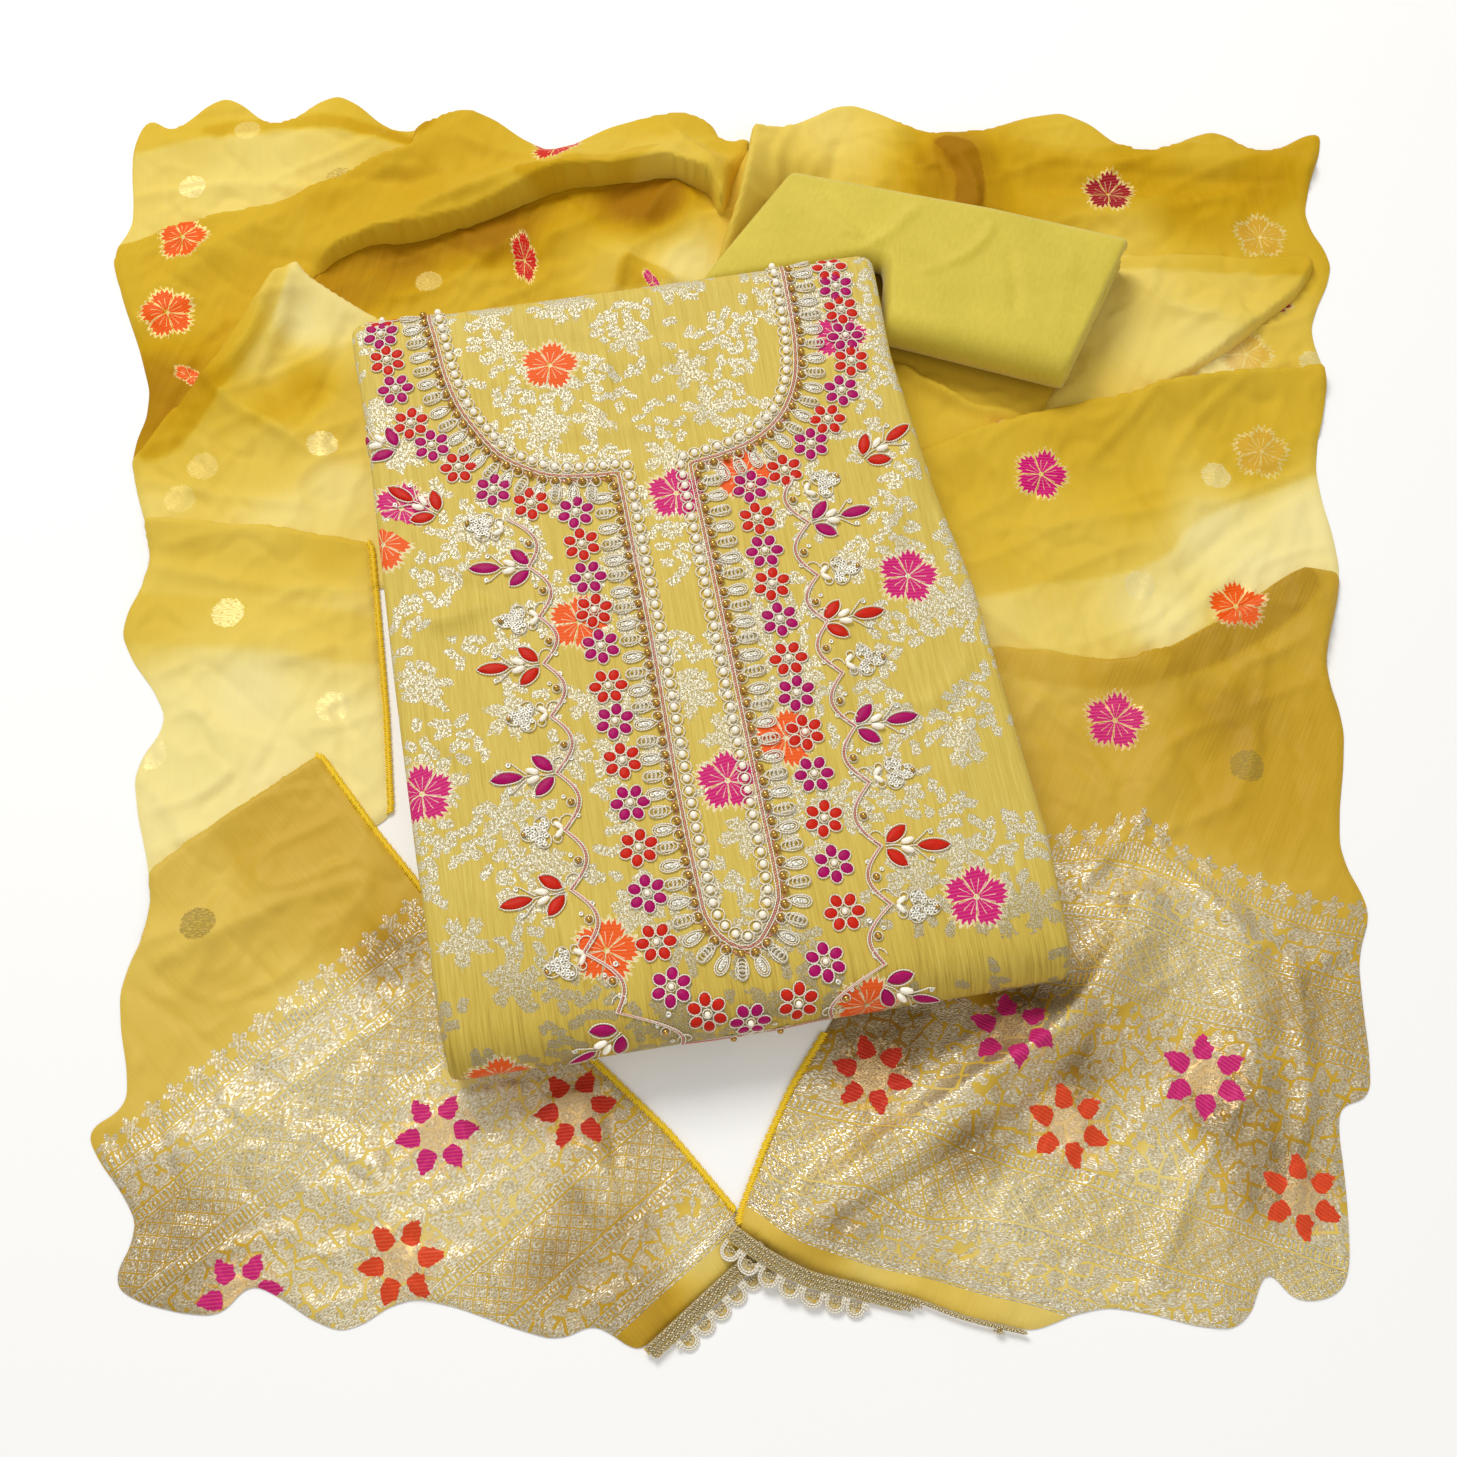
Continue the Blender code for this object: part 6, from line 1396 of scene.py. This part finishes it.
class Needlework:  # gathers every stitch, thread and bead before they are made
    def __init__(self):
        self.lines = {"zari": [], "pink": []}
        self.spots = {}

    def line(self, kind, points, lift=0.75, closed=False):
        points = np.asarray(points, float)
        if points.shape[1] == 2:
            points = np.column_stack([points, np.full(len(points), lift)])
        self.lines[kind].append((points, closed))

    def ring(self, x, y, radius, lift=0.75, sides=11, angle=0.0, squeeze=1.0):
        a = np.linspace(0, 2 * math.pi, sides, endpoint=False)
        loop = np.column_stack([radius * np.cos(a), radius * squeeze * np.sin(a)])
        self.line("zari", placed(x, y, angle, loop), lift, True)

    def spot(self, kind, x, y, lift, angle, size):
        self.spots.setdefault(kind, []).append((x, y, lift, angle, *size))

    def sequin(self, x, y, lift, angle, wide, high=2.2):
        self.spot("sequin", x, y, lift, angle, (wide, wide, high))

    def leaf(self, kind, x, y, angle, length, width):  # satin leaf from its foot
        self.spot(kind + "Leaf", *onward(x, y, angle, length / 2), 0.1, angle,
                  (length, width, 1.3))
        t = np.concatenate([np.linspace(-1, 1, 8), np.linspace(0.72, -0.72, 6)])
        side = np.repeat([1, -1], (8, 6))
        half = 0.55 * width * (1 - np.abs(t) ** 2.2) ** 0.75 + 0.15
        self.line("zari", placed(x, y, angle, np.column_stack([
            length / 2 + t * length / 2, side * half])), 0.7, True)

    def ricePearl(self, x, y, angle, length, width):
        self.spot("pearl", *onward(x, y, angle, length / 2), 1.6, angle,
                  (length, width, width))

    def flower(self, x, y, kind, turn):
        size = stitchery
        for k in range(size["petals"]):
            a = turn + 2 * math.pi * k / size["petals"]
            px, py = onward(x, y, a, size["petalReach"])
            self.spot(kind + "Petal", px, py, 0.1, a,
                      (size["petalLength"], size["petalWidth"], size["satinHeight"]))
            self.ring(px, py, size["petalLength"] / 2 + 0.3, 0.75, 10, a, 0.85)
        self.spot("pearl", x, y, 2.0, 0, (3.2, 3.2, 3.0))
        self.ring(x, y, 2.3, 0.9, 9)

    def drop(self, x, y, angle, coiled, k):  # leaf of loops or of foil, across the border
        length, width = stitchery["dropLength"], stitchery["dropWidth"]
        t = np.linspace(0, 2 * math.pi, 15, endpoint=False)
        shape = np.column_stack([-0.5 * length * np.cos(t),
                                 0.5 * width * np.sin(t) * np.sin(t / 2) ** 0.6])
        self.line("zari", placed(x, y, angle, shape), 0.7, True)
        if coiled:
            for m in range(4):
                self.ring(*onward(x, y, angle, (m - 1.5) * 2.0 + 0.5), 2.5, 0.9 + 0.3 * m,
                          9, angle + 0.35, 0.9)
            return
        self.line("zari", placed(x, y, angle, shape * 0.72 + (0.5, 0)), 0.62, True)
        self.spot("foil", *onward(x, y, angle, 0.6), 0.1, angle,
                  (length * 0.5, width * 0.4, 0.3))
        for far in (-2.1, 0.5, 2.9):
            self.sequin(*onward(x, y, angle, far), 0.6, 0.7 * k, 2.5 - 0.1 * abs(far), 2.4)


def borderAlong(work, run):
    size = stitchery
    for k, ((x, y), (a, b)) in enumerate(zip(*stepsOn(run, size["pearlPitch"], 2.0))):
        work.spot("pearl", x, y, 2.0, 0, (size["pearl"],) * 3)
        work.ring(x - 0.3 * b, y + 0.3 * a, size["pearlLoop"] + 0.25 * (k % 2), 0.7)
    for kind, away, lift in size["lines"]:
        line = offsetRun(run, away)
        wave = 0.22 * np.sin(np.arange(len(line)) * 2.4 + away)
        work.line(kind, np.column_stack([line + wave[:, None] * (0.7, 0.7),
                                         lift + np.abs(wave)]))
    beads = stepsOn(offsetRun(run, size["beadOffset"]), size["beadPitch"], 3.0)
    for k, ((x, y), (a, b)) in enumerate(zip(*beads)):
        work.spot("bead", x, y, 1.7, 0, (size["bead"], size["bead"], size["bead"] * 0.92))
        if k % 3:
            work.ring(x + 0.6 * b, y - 0.6 * a, size["beadLoop"], 0.7, 9)
    scallop, ways = stepsOn(offsetRun(run, size["beadOffset"] - 0.6), size["beadPitch"] / 4)
    out = np.column_stack([ways[:, 1], -ways[:, 0]])
    swing = size["swing"] * np.cos(np.arange(len(scallop)) * math.pi / 2)
    work.line("pink", scallop + out * swing[:, None], 0.6)
    drops = stepsOn(offsetRun(run, size["dropOffset"]), size["dropPitch"], 4.0)
    for k, ((x, y), (a, b)) in enumerate(zip(*drops)):
        work.drop(x, y, math.atan2(-a, b), k % 2 == 0, k)


def vineAlong(work, rows, side):
    # arcs that bulge towards the flowers, one for each sprig, from cusp to cusp
    for (u1, v1), (u2, v2) in zip(rows[:-1], rows[1:]):
        span = math.hypot(u2 - u1, v2 - v1)
        t = np.linspace(0, 1, max(8, int(span / 2.2)))
        bulge = -side * span * 0.30 * np.sin(math.pi * t)
        path = np.column_stack([u1 + (u2 - u1) * t + bulge, v1 + (v2 - v1) * t])
        work.line("zari", path, 0.75)
        work.line("pink", path + (side * 1.0, 0.3), 0.85)
        work.line("zari", path + (side * 1.9, 0.3), 0.7)
        curl = np.linspace(0, 4.4, 9)
        reach = 4.6 - curl * 0.7
        work.line("zari", np.column_stack([u2 + side * (reach * np.cos(curl) - 1.5),
                                           v2 + 5.0 + reach * np.sin(curl)]), 0.65)
        mu, mv = path[len(t) // 2]
        work.spot("bead", mu + side * 5.2, mv, 1.7, 0, (3.3, 3.3, 3.0))
        work.ring(mu + side * 5.2, mv, 2.3, 0.7, 9)
        for across, away, wide in ((2.6, 8.2, 2.9), (2.6, -7.4, 2.7), (8.6, 3.6, 2.4)):
            work.sequin(mu + side * across, mv + away, 0.4, away, wide)


def colouredSprig(work, u, v, a, kind):
    work.leaf(kind, *onward(u, v, a, 15.5), a, 17.5, 6.0)
    for side in (1, -1):
        work.leaf(kind, *onward(u, v, a, 0.5, side * 1.6), a + side * 0.72, 14.0, 6.2)
        work.ricePearl(*onward(u, v, a, 7.5, side * 1.2), a + side * 0.3, 7.6, 3.4)
        curl = [(14, 1), (18, 4.5), (21, 7.5), (24, 8.5)]
        work.line("zari", placed(u, v, a, [(x, side * y) for x, y in curl]), 0.65)
        work.sequin(*onward(u, v, a, 23, side * 7), 0.4, side, 2.7)
    work.line("zari", placed(u, v, a, [(0, 0), (5, 0.4), (10, -0.4), (16, 0)]), 0.7)


def silverSprig(work, u, v, a, seed):
    for side in (1, -1):
        work.ricePearl(*onward(u, v, a, 1.5), a + side * 0.75, 6.2, 2.9)
    centre = onward(u, v, a, 14)
    for k, turn in enumerate((-2.0, 0.0, 2.0)):
        loop = onward(*centre, a + turn, 4.3)
        work.ring(*loop, 4.7, 0.7 + 0.1 * k, 12, a + turn, 0.84)
        for m in range(6):
            b = a + turn + m * 1.047 + 0.3 * seed
            work.sequin(*onward(*loop, b, 2.6 if m else 0.0), 0.5 + 0.12 * m, b, 2.7)
    for side in (1, -1):
        work.ring(*onward(u, v, a, 5, side * 4.5), 2.2, 0.7, 9)
    work.spot("bead", *onward(*centre, a, 7.6), 1.5, 0, (2.6, 2.6, 2.4))


def embroider():
    work = Needlework()
    borderAlong(work, evenly(smoothRun(pearlRun, 3), stitchery["step"]))
    for k, (u, v, hue) in enumerate(flowers):
        work.flower(u, v, ("magenta", "red")[hue], 0.26 + 0.35 * math.sin(k * 2.1))
    for side, feet in vineFeet.items():
        vineAlong(work, feet, side)
    for u, v, degrees, hue in sprigs:
        colouredSprig(work, u - (-9 if u < 0 else 9), v, math.radians(degrees),
                      ("magenta", "red")[hue])
    for k, (u, v, degrees) in enumerate(silverSprigs):
        silverSprig(work, u - (-9 if u < 0 else 9), v, math.radians(degrees), k)
    return work


def onKameez(points):
    return kameezShape.on(*points.T)


def threadPiece(name, lines, finish, thickness, sides=5, onto=onKameez):
    points, edges = [], []
    for run, closed in lines:
        first, count = len(points), len(run)
        points += run.tolist()
        edges += [(first + k, first + k + 1) for k in range(count - 1)]
        if closed:
            edges.append((first + count - 1, first))
    mesh = grow(threads, points, edges, Thickness=thickness, Sides=sides, Finish=finish)
    return wrap(mesh, name, onto)


def spotPiece(name, shape, rows, finish, onto=onKameez):
    rows = np.array(rows, float)
    layers = {"turn": rows[:, 3], "size": rows[:, 4:7]}
    mesh = grow(scatters, rows[:, :3], (), layers, Shape=shape, Finish=finish)
    return wrap(mesh, name, onto)


def twistFinish(pale, deep, metal):  # two plies of metal thread, laid in a spiral
    def finish(g):
        ply = g.wave(g.attribute("along") / 1.5 + g.attribute("around")) * 2
        wear = g.grain(700)
        return {"Base Color": g.mix(g.smooth(ply + (wear - 0.5) * 0.5, 0.1, 0.7),
                                    rgb(*deep), rgb(*pale)),
                "Metallic": metal, "Roughness": 0.34 + wear * 0.2,
                "Normal": g.bump(ply, 0.5, 0.0003)}
    return finish


def satinFinish(deep, bright):  # close parallel stitches of silk floss
    def finish(g):
        strands = g.grain((260, 2600, 260), 2.0, 0.6, turn=(0, 0, 0.5))
        return {"Base Color": g.mix(strands * 0.6 + g.grain(170, 1.0) * 0.4, rgb(*deep),
                                    rgb(*bright)),
                "Roughness": 0.42, "Normal": g.bump(strands, 0.5, 0.0003)}
    return finish


def pearlFinish(g):
    cloud = g.grain(420)
    # the emission is a painted glow that makes the pearls lighter than the lamps alone would
    return {"Base Color": g.mix(cloud, rgb(255, 252, 240), rgb(248, 238, 214)),
            "Emission Color": g.mix(cloud, rgb(255, 250, 236), rgb(240, 226, 196)),
            "Roughness": 0.26 + cloud * 0.06, "Normal": g.bump(cloud, 0.08, 0.0002)}


def beadFinish(g):
    cloud = g.grain(800)
    return {"Base Color": g.mix(cloud, rgb(240, 194, 104), rgb(158, 112, 44)),
            "Metallic": 0.85, "Roughness": 0.13 + cloud * 0.1}


def foilFinish(g):
    crush = g.grain(900, 3.0, 0.7)
    return {"Base Color": g.mix(g.smooth(crush, 0.35, 0.6), rgb(200, 190, 160),
                                rgb(255, 254, 246)),
            "Metallic": 0.35, "Roughness": 0.24 + crush * 0.2,
            "Normal": g.bump(crush, 0.4, 0.0003)}


dull = {"Specular IOR Level": 0.16}
# the silver zari's deeper tone along the spiral is painted shade between the plies
zariThread = material("silverZari", twistFinish((255, 252, 240), (214, 196, 158), 0.12))
pinkThread = material("pinkTwist", twistFinish((240, 176, 160), (200, 16, 62), 0.05))
magentaSilk = material("magentaFloss", satinFinish((142, 0, 72), (196, 0, 112)), dull)
redSilk = material("redFloss", satinFinish((178, 12, 2), (226, 44, 12)), dull)
pearlCoat = material("pearlCoat", pearlFinish, {"Coat Weight": 0.4, "Coat Roughness": 0.1,
                                                "Emission Strength": 0.14})
antiqueGold = material("antiqueGold", beadFinish)
silverFoil = material("silverFoil", foilFinish)

needlework = embroider()
lines, spots, cord = needlework.lines, needlework.spots, stitchery["thread"]
bead, sequin = beadShape(), sequinShape()
roundPad, leafPad = padShape(), padShape(14, 0.75)
embroidery = [dress(threadPiece("kameez_" + name, run, finish, thick))
              for name, run, finish, thick, slot in (
                  ("zari_cording", lines["zari"], zariThread, cord, "zari_cord"),
                  ("pink_cording", lines["pink"], pinkThread, cord * 0.85,
                   "magenta_thread"))]
embroidery += [dress(spotPiece("kameez_" + name, shape, spots[kind], finish))
               for name, shape, kind, finish, slot in (
                   ("pearls", bead, "pearl", pearlCoat, "pearl"),
                   ("gold_beads", bead, "bead", antiqueGold, "gold_bead"),
                   ("sequins", sequin, "sequin", silverFoil, "sequin"),
                   ("foil_leaves", roundPad, "foil", silverFoil, "sequin"),
                   ("magenta_petals", roundPad, "magentaPetal", magentaSilk,
                    "magenta_thread"),
                   ("red_petals", roundPad, "redPetal", redSilk, "red_thread"),
                   ("magenta_leaves", leafPad, "magentaLeaf", magentaSilk,
                    "magenta_thread"),
                   ("red_leaves", leafPad, "redLeaf", redSilk, "red_thread"))]
for piece in embroidery:
    print(piece.name, "stitched:", len(piece.data.polygons), "faces")

trims = {"strip": 8.0, "pitch": 10.0, "radius": 4.4, "reach": 3.4, "smooth": 2.2,
         "ropes": (1.6, 3.9, 6.3), "ropePitch": 3.4, "ropeRadius": 0.62, "sink": 0.75,
         "braid": 0.95, "cord": 1.1, "netRows": (0.4, 2.4, 4.4, 6.4, 8.0), "netColumns": 60,
         "stitchPitch": 1.15, "stitchSize": (4.2, 1.25, 1.1), "stitchLift": 0.9,
         "hemThread": 1.2}
laceEdges = {
    "dupatta_left_lace": (1, 6, [(15, -264.5), (1, -277), (-40, -313.5)]),
    "dupatta_right_lace": (-1, 7, [(3.5, -258), (20, -269.5), (40, -279), (62, -284),
                                   (88, -290.5), (112, -299), (141, -305.5)])}
# Hemmed edges: the stretch, and guides that the hem passes in turn.
hems = [("dupatta_left_panel", [(-200, 112), (-186, 40), (-177, -50)]),
        ("dupatta_left_pallu", [(-218, -15), (-155, -94), (3, -251)]),
        ("dupatta_right_pallu", [(48, -165), (18, -220), (0, -262)])]


def laceFinish(g):  # backing net of the lace, gold between silver
    net = g.smooth(g.cells(g.place((1, 1, 1)), 620.0, feature="DISTANCE_TO_EDGE"), 0.22,
                   0.08)
    silver = g.mix(g.grain(1500), rgb(150, 128, 70), rgb(246, 236, 200))
    return {"Base Color": g.mix(net, rgb(206, 168, 40), silver), "Metallic": net * 0.5,
            "Roughness": 0.45, "Normal": g.bump(net, 0.5, 0.0004)}


laceNet = material("laceNet", laceFinish)
yellowThread = material("yellowOverlock", twistFinish((255, 232, 60), (244, 206, 10), 0.0))
antiqueBraid = material("antiqueBraid", twistFinish((244, 230, 186), (120, 92, 44), 0.35))


def makeLace(node):
    size = trims
    way, count, rows = laceEdges[node]
    edge = smoothRun(rows, 6)
    steps, travelled = np.diff(edge, axis=0), travel(edge)
    top, mask, outline = solidTop(node)
    height = blurred(top, mask, size["smooth"])

    def at(distance, offset, lift=0.0):  # along and away from the pallu's end, in the plan
        distance, offset = np.broadcast_arrays(np.asarray(distance, float), offset)
        k = np.clip(np.searchsorted(travelled, distance) - 1, 0, len(steps) - 1)
        tangent = steps[k] / np.linalg.norm(steps[k], axis=1)[:, None]
        flat = readRun(distance, travelled, edge) \
            + way * offset[:, None] * np.column_stack([-tangent[:, 1], tangent[:, 0]])
        return np.column_stack([flat, sample(height, flat) - size["sink"] + lift])

    def kept(points):  # only what lies within the trim's own outline
        flat = points[:, :2]
        return inside(flat, outline) | (edgeDistance(flat, outline) < 0.9)

    def cut(*place):  # a run's stretches that are kept
        points = at(*place)
        held = kept(points)
        runs = np.split(np.arange(len(points)), np.flatnonzero(np.diff(held)) + 1)
        return [(points[run], False) for run in runs if held[run[0]] and len(run) > 3]

    def scallop(middle, radius, steps):  # up, round and down again: along, away
        t = np.linspace(0, math.pi, steps)
        return np.vstack([(middle - radius, strip), np.column_stack(
            [middle - radius * np.cos(t), base + radius * np.sin(t)]),
                          (middle + radius, strip)]).T

    length, pitch, strip = travelled[-1], size["pitch"], size["strip"]
    ropes, cords = [], []
    s = np.arange(1.0, length - 1.0, 0.75)
    for offset in size["ropes"]:
        for ply in (0, math.pi):
            turn = 2 * math.pi * s / size["ropePitch"] + ply
            ropes += cut(s, offset + size["ropeRadius"] * np.cos(turn),
                         0.55 + 0.5 * np.sin(turn))
    s = np.arange(0.5, count * pitch, 0.8)
    zigzag = strip + 1.6 + 1.9 * np.abs(((s / pitch * 2) % 2) - 1)
    ropes += cut(s, zigzag, 0.3) + cut(s, 2 * strip + 5.0 - zigzag, 0.45)
    base, middles = strip + size["reach"], [(k + 0.5) * pitch for k in range(count)]
    for middle in middles:
        for radius, lift in ((size["radius"], 0.3), (size["radius"] - 1.05, 0.45)):
            cords += cut(*scallop(middle, radius, 12), lift)
        t = np.linspace(0, 2 * math.pi, 9, endpoint=False)
        cords.append((at(middle + 5.0 + 1.1 * np.cos(t), base - 1.2 + 1.1 * np.sin(t), 0.6),
                      True))
    columns, offsets = size["netColumns"], size["netRows"]
    points = np.vstack([at(np.linspace(0.3, length - 0.3, columns), offset,
                           -0.1 if offset in (offsets[0], strip) else 0.15)
                        for offset in offsets])
    faces = [(a, a + 1, a + columns + 1, a + columns) for a in (
        r * columns + k for r in range(len(offsets) - 1) for k in range(columns - 1))]
    for middle in middles:  # the net that fills each scallop
        rim, first = scallop(middle, size["radius"] - 0.6, 9), len(points)
        points = np.vstack([points, at([middle], [base], -0.05), at(*rim, -0.1)])
        faces += [(first, first + 1 + m, first + 2 + m) for m in range(len(rim.T) - 1)]
    held = kept(points)
    faces = [face if way < 0 else face[::-1] for face in faces if all(held[list(face)])]
    used = sorted({k for face in faces for k in face})
    place = {k: n for n, k in enumerate(used)}
    faces = [tuple(place[k] for k in face) for face in faces]
    net = makePiece(node + "_net", toRow(points[used]), faces, laceNet)
    braid = threadPiece(node + "_braid", ropes, antiqueBraid, size["braid"], 4, toRow)
    scallops = threadPiece(node + "_scallops", cords, zariThread, size["cord"], 5, toRow)
    return [dress(net, node), dress(braid), dress(scallops)]


def rimPart(stretch, guides):  # the stretch's own edge from the first guide to the last
    rim = rims[stretch]
    first, middle, last = (int(np.argmin(np.hypot(rim[:, 0] - x, rim[:, 1] - y)))
                           for x, y in guides)
    count = len(rim)
    way = 1 if (middle - first) % count < (last - first) % count else -1
    return rim[[(first + way * k) % count for k in range(way * (last - first) % count + 1)]]


def makeHem(stretch, guides):
    size = trims
    path = rimPart(stretch, guides)
    place, way = stepsOn(path, size["stitchPitch"])
    steps = np.arange(len(place))
    lift = np.interp(steps * size["stitchPitch"], travel(path[:, :2]), path[:, 2])
    lean = 0.35 + 0.2 * np.sin(steps * 1.7)
    rows = [(x, y, z + size["stitchLift"], math.atan2(b, a) + math.pi / 2 + d,
             *size["stitchSize"]) for (x, y), z, (a, b), d in zip(place, lift, way, lean)]
    edge = path + (0, 0, size["stitchLift"] + 0.4)
    return [dress(piece) for piece in (
        spotPiece(stretch + "_hem_stitches", roundPad, rows, yellowThread, toRow),
        threadPiece(stretch + "_hem_thread", [(edge, False)], yellowThread,
                    size["hemThread"], 5, toRow))]


trimmed = {node.replace("lace", "pallu"): makeLace(node) for node in laceEdges}
for stretch, guides in hems:
    trimmed.setdefault(stretch, []).extend(makeHem(stretch, guides))
print("laces and hems sewn")


def floorFinish(g):  # clean paper, a little uneven in tone
    tone = studio["floorTone"]
    paper = g.mix(g.grain(2), (tone, tone, tone * 0.995, 1),
                  (tone * 0.985, tone * 0.985, tone * 0.98, 1))
    return {"Base Color": paper, "Emission Color": paper, "Roughness": 0.9}


half, down = studio["floorHalf"], -studio["floorDrop"]
floor = makePiece("floor", [(-half, -half, down), (half, -half, down), (half, half, down),
                            (-half, half, down)], [(0, 1, 2, 3)],
                  material("floorPaper", floorFinish,
                           {"Emission Strength": studio["floorGlow"]}))
